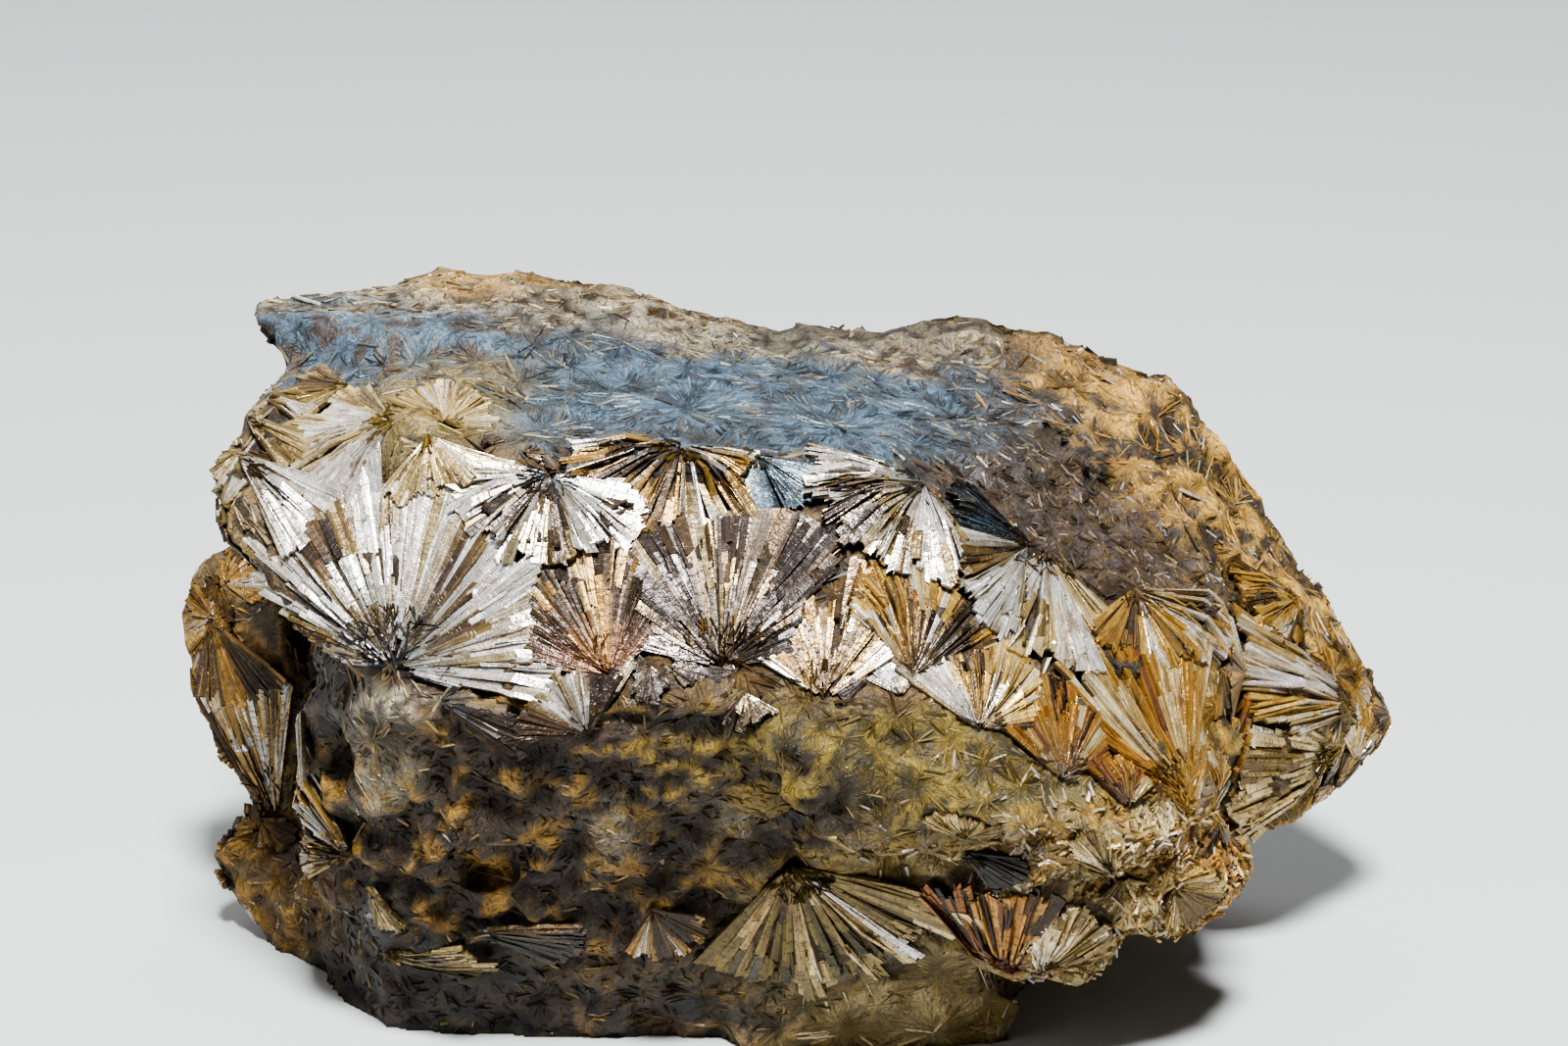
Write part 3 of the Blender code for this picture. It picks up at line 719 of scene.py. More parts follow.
class Field:
    """All the fans of the lump, which share its surface out among them.

    Attributes:
        under: How far a fan runs on under one of a higher rank.
        inner: Share of its reach to which a fan's blades hide the rock.
        around: How far a fan rules the grain of the rock round it, as a share of its reach.
        astray: Cost of a point that its owner's blades don't reach, against one reach away.
    """

    under: float = 1.3
    fineness: float = 1.6
    inner: float = 0.97
    around: float = 1.5
    astray: float = 2.0
    height_cost: float = 0.15
    rank_gain: float = 0.4

    def __init__(self) -> None:
        """Starts without fans."""
        self.sheets: list[Sheet] = []
        self.looks: list[object] = []

    def add(self, sheet: Sheet, look: object) -> None:
        """Adds a fan with what its builder needs to know of it."""
        self.sheets.append(sheet)
        self.looks.append(look)

    def covers(self, point: Vector, normal: Vector, least: float = 1.0) -> bool:
        """Whether a point lies in a fan already."""
        spot = np.array([point])
        for sheet in self.sheets:
            if (sheet.focus - point).length < sheet.reach + 1 and sheet.normal.dot(normal) > 0.1:
                if sheet.share(spot)[0] < least:
                    return True
        return False

    def cut_seams(self) -> None:
        """Ends each fan where its neighbours begin."""
        foci = np.array([sheet.focus for sheet in self.sheets])
        reaches = np.array([sheet.reach for sheet in self.sheets])
        fresh = []
        for index, sheet in enumerate(self.sheets):
            near = np.linalg.norm(foci - foci[index], axis=1) < reaches + reaches[index]
            near[index] = False
            fresh.append(self._seam(sheet, [self.sheets[number] for number in np.flatnonzero(near)]))
        for sheet, limits in zip(self.sheets, fresh):
            sheet.limits = limits

    def _seam(self, sheet: Sheet, neighbours: list[Sheet]) -> Array:
        """How far one fan runs at each of its rays, with its neighbours in place."""
        steps = max(8, int(sheet.reach * self.fineness))
        rays = max(25, int(sheet.spread * sheet.reach * self.fineness))
        radii = np.linspace(0.1, 1, steps) * sheet.reach
        angles = np.linspace(-0.5, 0.5, rays) * sheet.spread
        radius, angle = np.meshgrid(radii, angles)
        points = sheet.place(radius.ravel(), angle.ravel())
        own = sheet.claim(radius.ravel(), angle.ravel())
        taken = np.zeros(len(own), bool)
        for other in neighbours:
            if other.rank < sheet.rank:
                continue
            share = other.share(points)
            most = 1 - self.under / other.reach if other.rank > sheet.rank else own
            taken |= share < most
        table = taken.reshape(radius.shape)
        first = np.where(table.any(1), table.argmax(1), steps - 1)
        return np.minimum(radii[first], sheet.limit(angles))

    def bladed(self, points: Array, normals: Array) -> Array:
        """Whether blades lie over each point."""
        taken = np.zeros(len(points), bool)
        slices = Slices(points)
        for sheet, what in zip(self.sheets, self.looks):
            if what is None or isinstance(what, Zone) and isinstance(what.habit, Felt):
                continue
            near = slices.near(sheet.focus, sheet.reach)
            near = near[normals[near] @ np.array(sheet.normal) > 0.1]
            if len(near):
                taken[near] |= sheet.share(points[near]) < self.inner
        return taken

    def owners(self, points: Array, normals: Array) -> Array:
        """The fan that each point belongs to."""
        best = np.full(len(points), FAR)
        owner = np.zeros(len(points), int)
        slices = Slices(points)
        for index, sheet in enumerate(self.sheets):
            near = slices.near(sheet.focus, sheet.reach * self.around)
            near = near[normals[near] @ np.array(sheet.normal) > 0]
            if not len(near):
                continue
            radius, angle, height = sheet.polar(points[near])
            score = radius / sheet.reach + self.astray * (np.abs(angle) > sheet.spread / 2)
            score += (
                self.astray * (radius > sheet.limit(angle) + 0.3)
                + self.height_cost * np.abs(height) - self.rank_gain * sheet.rank
            )
            better = score < best[near]
            best[near[better]] = score[better]
            owner[near[better]] = index
        return owner


# Blades ---------------------------------------------------


class BladePattern:
    """One length of a blade, modelled once and then copied thousands of times.

    Args:
        section: The blade's section from its left foot over its crest to its right foot, as shares
            of its breadth and thickness.
    """

    def __init__(self, section: tuple[Pair, ...]) -> None:
        """Models one length, numbers its corners and turns its faces outwards."""
        self.section = section
        self.sides = len(section)
        bpy.ops.object.select_all(action="DESELECT")
        bpy.ops.mesh.primitive_cylinder_add(
            vertices=self.sides, radius=0.5, depth=1.0, end_fill_type="NGON",
            location=(0.5, 0.0, 0.0), rotation=(0.0, math.pi / 2, 0.0),
        )
        pattern = bpy.context.object
        bpy.ops.object.transform_apply(location=True, rotation=True, scale=True)
        places = np.array([vertex.co for vertex in pattern.data.vertices])
        self.ring = np.rint(places[:, 0]).astype(int)
        turn = math.tau / self.sides
        angle = np.arctan2(places[:, 2], places[:, 1])
        self.corner = np.rint((angle - angle[0]) / turn).astype(int) % self.sides
        self.faces = [tuple(polygon.vertices) for polygon in pattern.data.polygons]
        bpy.data.objects.remove(pattern)
        if self._points_inwards():
            self.corner = self.sides - 1 - self.corner
        self.sizes = np.array([len(face) for face in self.faces])
        self.loops = np.concatenate([np.array(face) for face in self.faces])

    def _points_inwards(self) -> bool:
        """Whether the faces would point into the blade with the section laid in this order."""
        section = np.array(self.section)[self.corner]
        places = np.stack([self.ring, section[:, 0], section[:, 1]], axis=1)
        volume = 0.0
        for face in self.faces:
            for near, far in zip(face[1:], face[2:]):
                volume += np.dot(places[face[0]], np.cross(places[near], places[far]))
        return volume < 0


FLAT_SECTION = ((-0.5, 0.0), (-0.5, 1.0), (0.0, 1.0), (0.5, 1.0), (0.5, 0.0))
NEEDLE_SECTION = ((-0.5, 0.0), (0.0, 1.0), (0.5, 0.0))


@dataclass(frozen=True)
class Growth:
    """How uneven growth and breakage make every fan, whatever its habit.

    Attributes:
        crowd: Blades side by side for each of their breadths, along the longest arc.
        sliver: Least and most breadth of a sliver, in even slots.
        tones: Spread of the tone between bundles and between blades, and the pull of the fan's own.
        skews: Spread of the turn of bundles and of blades, for each degree of roll.
        free: Share of its reach past which a fan's tips meet no neighbour.
        full: Breadth from which blades have their whole thickness.
        narrow: Share of a blade's breadth that it has at the focus.
        blotch: Size of blotches, and how strongly they shift the tone.
        dust: Share of the reach with dust, and how much of the colour it hides at the focus.
    """

    crowd: float = 0.85
    slot: Pair = (0.4, 1.6)
    sliver: Pair = (0.18, 0.45)
    sliver_rise: Pair = (0.02, 0.07)
    sliver_start: Pair = (0.1, 0.5)
    bundle: int = 5
    tones: Triple = (0.75, 0.26, 2.0)
    skews: Pair = (0.015, 0.003)
    free: float = 0.96
    free_ragged: float = 0.26
    tooth: int = 6
    core: float = 0.04
    full: float = 0.7
    breaks: float = 0.8
    cuts: Pair = (0.08, 0.95)
    broken: float = 0.45
    sunk: float = 2.2
    narrow: float = 0.12
    thinnest: float = 0.10
    blotch: Pair = (3.6, 2.6)
    dust: Pair = (0.36, 0.85)


GROWTH = Growth()


@dataclass(frozen=True)
class Arc:
    """The blades of one fan: their places along the arc, breadths as shares of it, heights over the
    usual crest, shares of the reach that stay bare, tones, polish and turns from the rays."""

    slots: Array
    wide: Array
    rise: Array
    short: Array
    level: Array
    shine: Array
    skews: Array


class BladePiece:
    """A piece made of many blades, joined in one mesh.

    Attributes:
        ridge_height: Height over which blades that face away from the eye stay out of its sight.
        beside: How far out from the lump's middle their line of sight is tested.
    """

    ridge_height: float = 34.0
    beside: float = 0.8

    def __init__(
        self, name: str, pattern: BladePattern, surface: Surface, seed: int, farthest: float
    ) -> None:
        """Starts the piece without blades."""
        self.name = name
        self.pattern = pattern
        self.surface = surface
        self.farthest = farthest
        self.rng = np.random.default_rng(seed)
        self.places: list[Array] = []
        self.tints: list[Array] = []
        self.polish: list[Array] = []
        self.spans: list[Array] = []

    def add_fan(
        self, sheet: Sheet, look: Look, breadth: float, habit: Habit, heart: Colour, tone: float
    ) -> None:
        """Lays one fan.

        Args:
            sheet: What the blades lie on.
            look: Their colours.
            breadth: Usual breadth of a blade at its widest.
            habit: How they grow.
            heart: Colour of the dust at the focus.
            tone: How much paler, or darker if below 0, this fan is than its look.
        """
        rng = self.rng
        count = max(4, round(sheet.spread * sheet.reach * GROWTH.crowd / breadth))
        steps = rng.uniform(*GROWTH.slot, count)
        edges = np.concatenate([[0], np.cumsum(steps)]) / steps.sum() - 0.5
        extra = int(count * habit.slivers)
        slots = np.concatenate([(edges[1:] + edges[:-1]) / 2, rng.uniform(-0.5, 0.5, extra)])
        wide = np.diff(edges) * habit.overlap
        wide = np.concatenate([wide, rng.uniform(*GROWTH.sliver, extra) / count])
        rise = np.concatenate([np.zeros(count), rng.uniform(*GROWTH.sliver_rise, extra)])
        short = np.concatenate([np.zeros(count), rng.uniform(*GROWTH.sliver_start, extra)])
        bundles = rng.normal(0, 1, max(4, int(count / GROWTH.bundle)))
        marks = np.linspace(-0.5, 0.5, len(bundles))
        of_bundle, of_blade, of_fan = GROWTH.tones
        level = of_bundle * np.interp(slots, marks, bundles)
        level = level + of_blade * rng.normal(0, 1, len(slots)) + of_fan * tone
        turns = rng.normal(0, GROWTH.skews[0] * habit.roll, max(3, int(sheet.spread * 4)))
        skews = self._bundled(turns, slots) + rng.normal(0, GROWTH.skews[1] * habit.roll, len(slots))
        gloss = np.interp(slots, marks, bundles[::-1])
        shine = np.clip(0.5 + 0.22 * gloss + rng.uniform(-0.2, 0.2, len(slots)), 0, 1)
        self._lay(sheet, Arc(slots, wide, rise, short, level, shine, skews), look, breadth, habit, heart)

    @staticmethod
    def _bundled(values: Array, slots: Array) -> Array:
        """For each slot, the value of its bundle."""
        return values[((slots + 0.5) * len(values)).astype(int).clip(0, len(values) - 1)]

    def add_felt(
        self, sheet: Sheet, look: Look, breadth: float, felt: Felt, heart: Colour, inner: float = 1.0
    ) -> None:
        """Lays a mat of needles that point away from a focus.

        Args:
            sheet: What the needles lie on.
            look: Their colours.
            breadth: Usual breadth of a needle.
            felt: How they grow.
            heart: Colour of the dust at the focus.
            inner: Share of the fan's reach that the mat covers.
        """
        rng = self.rng
        area = 0.5 * sheet.spread * float((sheet.limits**2).mean()) * inner * inner
        count = int(felt.layers * area / (breadth * breadth * felt.length))
        angle = rng.uniform(-0.5, 0.5, count) * sheet.spread
        limit = np.minimum(sheet.limit(angle), inner * sheet.reach)
        radius = np.sqrt(rng.uniform(0.004, 1, count)) * limit
        length = breadth * felt.length * rng.uniform(*felt.sizes, count)
        low = np.maximum(radius - length / 2, 0.05)
        high = np.minimum(radius + length / 2, limit * 1.04)
        kept = (high - low > breadth) & self._near_lump(sheet.place(radius, angle), 1.5, sheet.normal)
        angle, low, high = angle[kept], low[kept], high[kept]
        count = len(angle)
        if count < 3:
            return
        turn = np.tan(np.radians(rng.normal(0, felt.stray, count))) * (high - low) / (high + low + 0.2)
        turn = np.clip(turn, -0.6, 0.6)
        centres = np.stack([sheet.place(low, angle - turn), sheet.place(high, angle + turn)], axis=1)
        rise = np.tan(np.radians(np.abs(rng.normal(0, felt.pitch, count)))) * (high - low)
        centres[:, 1] += np.outer(rise, np.array(sheet.normal))
        widths, crest = self._needle_sizes(felt, breadth, count)
        level = noise_at(centres.mean(1), 2.2) * 2.2 + 0.8 * rng.normal(0, 1, count)
        self._copy(np.array(sheet.normal), centres, widths, crest, self._rolls(15, count), felt.thick)
        self._tint(look.colours(self._share(level)), heart, np.stack([low, high], axis=1), sheet.reach)
        self._shine(rng.random(count))

    def add_needles(
        self, skin: Surface, points: Array, normals: Array, heading: Array, rock: Array, zone: Zone,
        felt: Felt, breadth: float,
    ) -> None:
        """Lays needles flat on the skin.

        Args:
            skin: The roughened skin.
            points: Their middles.
            normals: Outward directions there.
            heading: Directions of the needles.
            rock: Colours of the skin there, with its painted shade and light.
            zone: What gives the needles their look.
            felt: How they grow.
            breadth: Usual breadth of a needle.
        """
        rng = self.rng
        stray = np.radians(rng.normal(0, felt.stray, len(points)))[:, None]
        along = heading * np.cos(stray) + np.cross(normals, heading) * np.sin(stray)
        half = 0.5 * breadth * felt.length * rng.uniform(*felt.sizes, (len(points), 1))
        near, near_found = skin.settle(points - along * half, normals)
        far, far_found = skin.settle(points + along * half, normals)
        kept = near_found & far_found & (np.linalg.norm(far - near, axis=1) < 2.6 * half[:, 0])
        near, far, half, points, normals, rock = (
            table[kept] for table in (near, far, half, points, normals, rock)
        )
        count = len(points)
        if not count:
            return
        pitch = np.radians(np.abs(rng.normal(0, felt.pitch, (count, 1))))
        far = far + normals * np.tan(pitch) * 2 * half
        widths, crest = self._needle_sizes(felt, breadth, count)
        level = 2.2 * noise_at(points, 2.0) + 0.7 * rng.normal(0, 1, count)
        centres = np.stack([near, far], axis=1)
        self._copy(normals, centres, widths, crest, self._rolls(10, count), felt.thick)
        colours = 0.5 * zone.look.colours(self._share(level)) + 0.5 * rock
        self._tint(colours, UMBER, np.ones((count, 2)), 1.0, 0.35)
        self._shine(rng.random(count))

    def _needle_sizes(self, felt: Felt, breadth: float, count: int) -> tuple[Array, Array]:
        """Each needle's breadth at both of its ends, and the height of its crest."""
        usual = breadth * self.rng.uniform(*felt.breadths, (count, 1))
        widths = usual * np.stack([self.rng.uniform(0.5, 1, count), np.ones(count)], 1)
        return widths, felt.crest + self.rng.normal(0, felt.step, count)

    def _rolls(self, degrees: float, count: int) -> Array:
        """Random rolls with this spread."""
        return np.radians(self.rng.normal(0, degrees, count))

    def _lay(
        self, sheet: Sheet, arc: Arc, look: Look, breadth: float, habit: Habit, heart: Colour
    ) -> None:
        """Lays the blades of a fan's arc, broken into lengths."""
        rng = self.rng
        angle, blades = arc.slots * sheet.spread, len(arc.slots)
        limit = sheet.limit(angle)
        free = limit > GROWTH.free * sheet.reach
        ragged = np.where(free, max(habit.ragged, GROWTH.free_ragged), habit.ragged)
        tooth = self._bundled(rng.uniform(0, 1, max(3, blades // GROWTH.tooth)), arc.slots)
        end = limit * (1.02 - ragged * (0.65 * tooth + 0.35 * rng.uniform(0, 1, blades)))
        start = sheet.reach * np.maximum(rng.uniform(GROWTH.core, habit.start, blades), arc.short)
        crest = habit.crest + arc.rise + rng.normal(0, habit.step, blades)
        roll = self._rolls(habit.roll, blades)
        blade, low, high = self._break(start, end, breadth, habit)
        if not len(blade):
            return
        kept = rng.random(len(blade)) > habit.missing * (low > start[blade] + 0.01)
        kept &= high - low > 0.15
        most = self.farthest + max(0.0, sheet.lift)
        for radius in (low, (low + high) / 2, high):
            kept &= self._near_lump(sheet.place(radius, angle[blade]), most, sheet.normal)
        blade, low, high = blade[kept], low[kept], high[kept]
        count = len(blade)
        if not count:
            return
        broken = rng.random(count) < GROWTH.broken
        crest = crest[blade] - broken * rng.uniform(0, GROWTH.sunk, count) * habit.step
        roll = roll[blade] + broken * self._rolls(habit.roll * 0.5, count)
        radii = np.stack([low, high], axis=1)
        turns = arc.skews[blade, None] * (0.75 - radii / sheet.reach) + rng.normal(0, 0.006, (count, 2))
        spots = angle[blade, None] + turns
        centres = np.stack([sheet.place(radii[:, tip], spots[:, tip]) for tip in (0, 1)], axis=1)
        arms = (1 - GROWTH.narrow) * radii + GROWTH.narrow * sheet.reach
        widths = np.maximum(arc.wide[blade, None] * sheet.spread * arms, GROWTH.thinnest)
        thick = habit.thick * (0.5 + 0.5 * min(1.0, breadth / GROWTH.full))
        self._copy(np.array(sheet.normal), centres, widths, crest, roll, thick, habit.ridge)
        size, pull = GROWTH.blotch
        level = arc.level[blade] + pull * noise_at(centres.mean(1), size)
        level = level + 0.3 * broken * rng.normal(0, 1, count)
        self._tint(look.colours(self._share(level)), heart, radii, sheet.reach)
        self._shine(0.85 * arc.shine[blade] + 0.15 * rng.random(count))

    def _break(self, start: Array, end: Array, breadth: float, habit: Habit) -> tuple[Array, ...]:
        """Breaks blades into lengths, and gives each length's blade, start and end."""
        rng = self.rng
        lengths = (end - start) / (habit.length * breadth)
        pieces = np.clip(1 + rng.poisson(np.maximum(lengths, 0) * GROWTH.breaks), 1, 5)
        blade, low, high = [], [], []
        for index in np.flatnonzero(end - start > 0.5 * breadth + 0.2):
            cuts = np.sort(rng.uniform(*GROWTH.cuts, pieces[index] - 1))
            marks = start[index] + (end[index] - start[index]) * np.concatenate([[0], cuts, [1]])
            blade += [index] * pieces[index]
            low += list(marks[:-1])
            high += list(marks[1:])
        return np.array(blade, int), np.array(low), np.array(high)

    def _shine(self, shine: Array) -> None:
        """Gives the blades just laid their polish."""
        self.polish.append(np.repeat(shine[:, None], len(self.pattern.ring), 1))

    def _copy(
        self, normals: Array, centres: Array, widths: Array, crest: Array, roll: Array, thick: float,
        ridge: float = 0.0,
    ) -> None:
        """Places copies of the pattern between pairs of centres, with their backs along the normals."""
        rng, pattern = self.rng, self.pattern
        count = len(centres)
        along = centres[:, 1] - centres[:, 0]
        length = np.linalg.norm(along, axis=1, keepdims=True)
        along /= length
        up = units(normals - along * (along * normals).sum(1, keepdims=True))
        across = np.cross(up, along)
        cos, sin = np.cos(roll)[:, None], np.sin(roll)[:, None]
        up, across = up * cos + across * sin, across * cos - up * sin
        section = np.tile(np.array(pattern.section), (count, 1, 1))
        section[:, pattern.sides // 2, 0] = rng.uniform(-0.4, 0.4, count)
        if ridge:
            for edge in (1, -2):
                section[:, edge, 1] -= rng.uniform(0, 2 * ridge, count)
        local = section[:, pattern.corner]
        slant = rng.normal(0, 0.45, (count, 2))[:, pattern.ring]
        breadths = widths[:, pattern.ring]
        rises = crest[:, None] - thick * (1 - local[:, :, 1])
        vertices = (
            centres[:, pattern.ring]
            + across[:, None, :] * (breadths * local[:, :, 0])[:, :, None]
            + up[:, None, :] * rises[:, :, None]
            + along[:, None, :] * (slant * local[:, :, 0] * breadths)[:, :, None]
        )
        low, high = self.surface.low + np.array([0.02, 0.02, 0.03]), self.surface.high - 0.02
        self.places.append(np.clip(vertices, low, high))
        self.spans.append(np.concatenate([length, widths.mean(1, keepdims=True)], axis=1))

    def _near_lump(self, points: Array, most: float, normal: Vector) -> Array:
        """Whether each point is over the floor, close to a part of the lump that faces the same way,
        and out of the eye's sight where the fan turns its back to it."""
        near, tree = points[:, 2] > 0.2, self.surface.tree
        for index in np.flatnonzero(near):
            point = Vector(points[index])
            hit, outward, _, _ = tree.find_nearest(point, most)
            near[index] = hit is not None and outward.dot(normal) > 0.6 - self.farthest
            toward = (EYE.place - point).normalized()
            if near[index] and point.z > self.ridge_height and normal.dot(toward) < 0.1:
                offset = point - EYE.back * point.dot(EYE.back) - Vector((0, 0, 33))
                start = point + offset.normalized() * self.beside
                near[index] = tree.ray_cast(start, toward)[0] is not None
        return near

    @staticmethod
    def _share(level: Array) -> Array:
        """Places in a look's range, from 0 to 1, for levels that spread as a bell curve does."""
        return 0.5 * (1 + np.vectorize(math.erf)(level / math.sqrt(2)))

    def _tint(
        self, colours: Array, heart: Colour, radii: Array, reach: float, uneven: float = 0.12
    ) -> None:
        """Colours the blades just laid, with dust towards the focus."""
        colours = colours * self.rng.uniform(1 - uneven, 1 + uneven, (len(colours), 1))
        radius = radii[:, self.pattern.ring]
        inner, hides = GROWTH.dust
        dust = np.clip(1 - radius / (inner * reach), 0, 1)[:, :, None] ** 1.2 * hides
        tint = colours[:, None, :] * (1 - dust) + np.array(heart) * dust
        height = np.array(self.pattern.section)[self.pattern.corner, 1]
        depth = np.broadcast_to(height[None, :, None], tint.shape[:2] + (1,))
        self.tints.append(np.concatenate([tint, depth], axis=2))

    def build(self, material: Material) -> Object:
        """Makes the piece's object.

        Args:
            material: The blades' finish.

        Returns:
            The object, riding with the lump.
        """
        places = np.concatenate(self.places) * MM
        count, per = places.shape[:2]
        pattern = self.pattern
        mesh = bpy.data.meshes.new(self.name)
        mesh.vertices.add(count * per)
        write(mesh.vertices, "co", places)
        loops = pattern.loops[None, :] + np.arange(count)[:, None] * per
        sizes = np.tile(pattern.sizes, count)
        mesh.loops.add(loops.size)
        write(mesh.loops, "vertex_index", loops, np.int32)
        mesh.polygons.add(len(sizes))
        write(mesh.polygons, "loop_start", np.cumsum(sizes) - sizes, np.int32)
        mesh.update(calc_edges=True)
        add_colours(mesh, "Tint", np.concatenate(self.tints))
        polish = mesh.attributes.new("Polish", "FLOAT", "POINT")
        write(polish.data, "value", np.concatenate(self.polish))
        self._add_grain(mesh, np.concatenate(self.spans))
        self._add_atlas(mesh, count)
        mesh.materials.append(material)
        mesh.shade_flat()
        LOG.info("%s: %d blades", self.name, count)
        return finish_piece(bpy.data.objects.new(self.name, mesh))

    def _flat_places(self) -> tuple[Array, Array]:
        """Each face corner's place along the blade and round its section, both from 0 to 1."""
        pattern = self.pattern
        along, round_ = [], []
        for face in pattern.faces:
            rings = pattern.ring[list(face)]
            corners = pattern.corner[list(face)].astype(float)
            if len(face) == pattern.sides:
                end = 0.985 if rings[0] == 1 else 0.015
                turns = corners * math.tau / pattern.sides
                along += list(end + 0.010 * np.cos(turns))
                round_ += list(0.5 + 0.4 * np.sin(turns))
                continue
            if corners.max() - corners.min() > 1.5:
                corners[corners < 0.5] = pattern.sides
            along += list(0.03 + 0.94 * rings)
            round_ += list(0.03 + 0.94 * corners / pattern.sides)
        return np.array(along), np.array(round_)

    def _add_grain(self, mesh: Mesh, spans: Array) -> None:
        """A map in millimetres along and across each blade, from its own random start."""
        along, round_ = self._flat_places()
        starts = self.rng.uniform(0, 400, (len(spans), 2))
        u = starts[:, :1] + along[None, :] * spans[:, :1]
        v = starts[:, 1:] + round_[None, :] * spans[:, 1:] * 2
        add_map(mesh, "Grain", np.stack([u, v], axis=2))

    def _add_atlas(self, mesh: Mesh, count: int) -> None:
        """A map that gives each blade its own small rectangle of the square."""
        columns = max(1, math.ceil(math.sqrt(count / 4)))
        rows = math.ceil(count / columns)
        along, round_ = self._flat_places()
        index = np.arange(count)
        u = ((index % columns)[:, None] + 0.04 + 0.92 * along[None, :]) / columns
        v = ((index // columns)[:, None] + 0.04 + 0.92 * round_[None, :]) / rows
        add_map(mesh, "OFBake", np.stack([u, v], axis=2))


def finish_piece(obj: Object) -> Object:
    """Links a piece, and makes it ride with the lump."""
    if obj.name not in bpy.context.scene.collection.objects:
        bpy.context.scene.collection.objects.link(obj)
    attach(obj, BODY)
    LOG.info("%s: %d faces", obj.name, len(obj.data.polygons))
    return obj


# Fans -----------------------------------------------------


@dataclass(frozen=True)
class FanPlan:
    """A named fan of the display side: its focus and heading on the eye's plane, and its make."""

    right: float
    up: float
    heading: float
    spread: float
    reach: float
    look: Look
    breadth: float = 0.85
    lift: float = 0.3
    heart: Colour = UMBER
    tone: float = 0.0
    rank: int = 2
    habit: Habit | None = None


UPPER_LEFT_FANS = (
    FanPlan(-37.5, 9.7, 200, 110, 8.6, Look.CREAMY, 0.62, 0.3, OLIVE, tone=0.2),
    FanPlan(-34.0, 8.5, 285, 110, 6.4, Look.CREAMY, 0.62, 0.3, OLIVE, tone=0.1),
    FanPlan(-32.3, 10.2, 50, 130, 5.4, Look.CREAMY, 0.45, 0.2, STRAW),
    FanPlan(-41.5, 13.0, 190, 110, 5.4, Look.CREAMY, 0.5, 0.2, OLIVE),
    FanPlan(-52.6, 7.0, 318, 44, 12.0, Look.SILVER, 0.9, 0.4, BROWN, tone=0.3),
    FanPlan(-51.5, 10.2, 330, 36, 8.5, Look.CREAMY, 0.7, 0.3, BROWN),
    FanPlan(-49.8, 12.6, 342, 40, 6.5, Look.CREAMY, 0.6, 0.2, BROWN),
    FanPlan(-53.2, 3.0, 300, 46, 11.0, Look.BRONZE, 0.7, 0.3, UMBER),
)
UPPER_ROW_FANS = (
    FanPlan(-22.4, 5.0, 262, 190, 8.8, Look.SILVER, 0.95, 0.5, SLATE, tone=0.2),
    FanPlan(-9.7, 8.0, 265, 168, 8.4, Look.BRONZE, 0.75, 0.4, UMBER, tone=-0.1),
    FanPlan(-2.6, 6.6, 300, 110, 5.5, Look.STEELY, 0.50, 0.2, SLATE),
    FanPlan(13.6, 4.4, 226, 136, 11.6, Look.SILVER, 0.72, 0.9, SLATE, tone=0.05, rank=3),
    FanPlan(23.8, -2.0, 214, 74, 11.4, Look.SILVER, 0.80, 0.4, NIGHT, tone=-0.1, rank=3),
    FanPlan(23.5, -1.8, 158, 74, 9.4, Look.STEELY, 0.4, 0.2, NIGHT, tone=-0.9, rank=3),
    FanPlan(25.2, -2.6, 276, 96, 10.0, Look.CREAMY, 0.95, 0.3, NIGHT, tone=0.1),
    FanPlan(33.6, -6.2, 300, 150, 9.0, Look.GOLDEN, 0.85, 0.3, BROWN),
)
LOWER_ROW_FANS = (
    FanPlan(-37.5, -13.7, 75, 196, 16.5, Look.SILVER, 1.05, 0.2, SLATE, tone=0.2),
    FanPlan(-33.1, -17.1, 12, 90, 6.4, Look.MAUVY, 0.7, 0.2, SLATE, tone=-0.3),
    FanPlan(-16.7, -14.7, 106, 130, 11.0, Look.BRONZE, 0.85, 0.2, RUST, tone=-0.75),
    FanPlan(-18.8, -20.3, 120, 130, 6.4, Look.PLUMMY, 0.8, 0.2, PLUM, tone=0.2),
    FanPlan(-5.9, -13.5, 86, 160, 13.0, Look.PLUMMY, 0.95, 0.3, UMBER, tone=-0.4),
    FanPlan(3.9, -16.7, 92, 112, 10.6, Look.BRONZE, 0.85, 0.2, BROWN, tone=-0.1),
    FanPlan(12.5, -14.7, 84, 112, 9.6, Look.GOLDEN, 0.70, 0.2, MAUVE),
    FanPlan(18.9, -19.4, 80, 140, 7.6, Look.GOLDEN, 0.7, 0.2, MAUVE, tone=-0.15),
    FanPlan(39.2, -27.4, 118, 90, 16.5, Look.ORANGE, 0.85, 0.2, HONEY, tone=0.1),
    FanPlan(27.0, -24.5, 92, 120, 10.0, Look.ORANGE, 0.7, 0.2, MAUVE, tone=0.15),
    FanPlan(33.4, -27.0, 100, 100, 8.0, Look.ORANGE, 0.6, 0.2, MAUVE, tone=0.05),
)
FAR_RIGHT_FANS = (
    FanPlan(55.4, -17.7, 155, 52, 14.0, Look.GOLDEN, 0.65, 0.1, HONEY, tone=0.55, habit=SMOOTH),
    FanPlan(53.6, -21.8, 197, 84, 11.0, Look.STRAWY, 0.70, 0.1, OLIVE, tone=0.25, habit=SMOOTH),
    FanPlan(49.3, -7.2, 200, 90, 7.4, Look.GOLDEN, 0.50, 0.0, HONEY, habit=SMOOTH),
    FanPlan(45.5, -14.5, 175, 80, 6.4, Look.GOLDEN, 0.50, 0.1, HONEY, habit=SMOOTH),
)
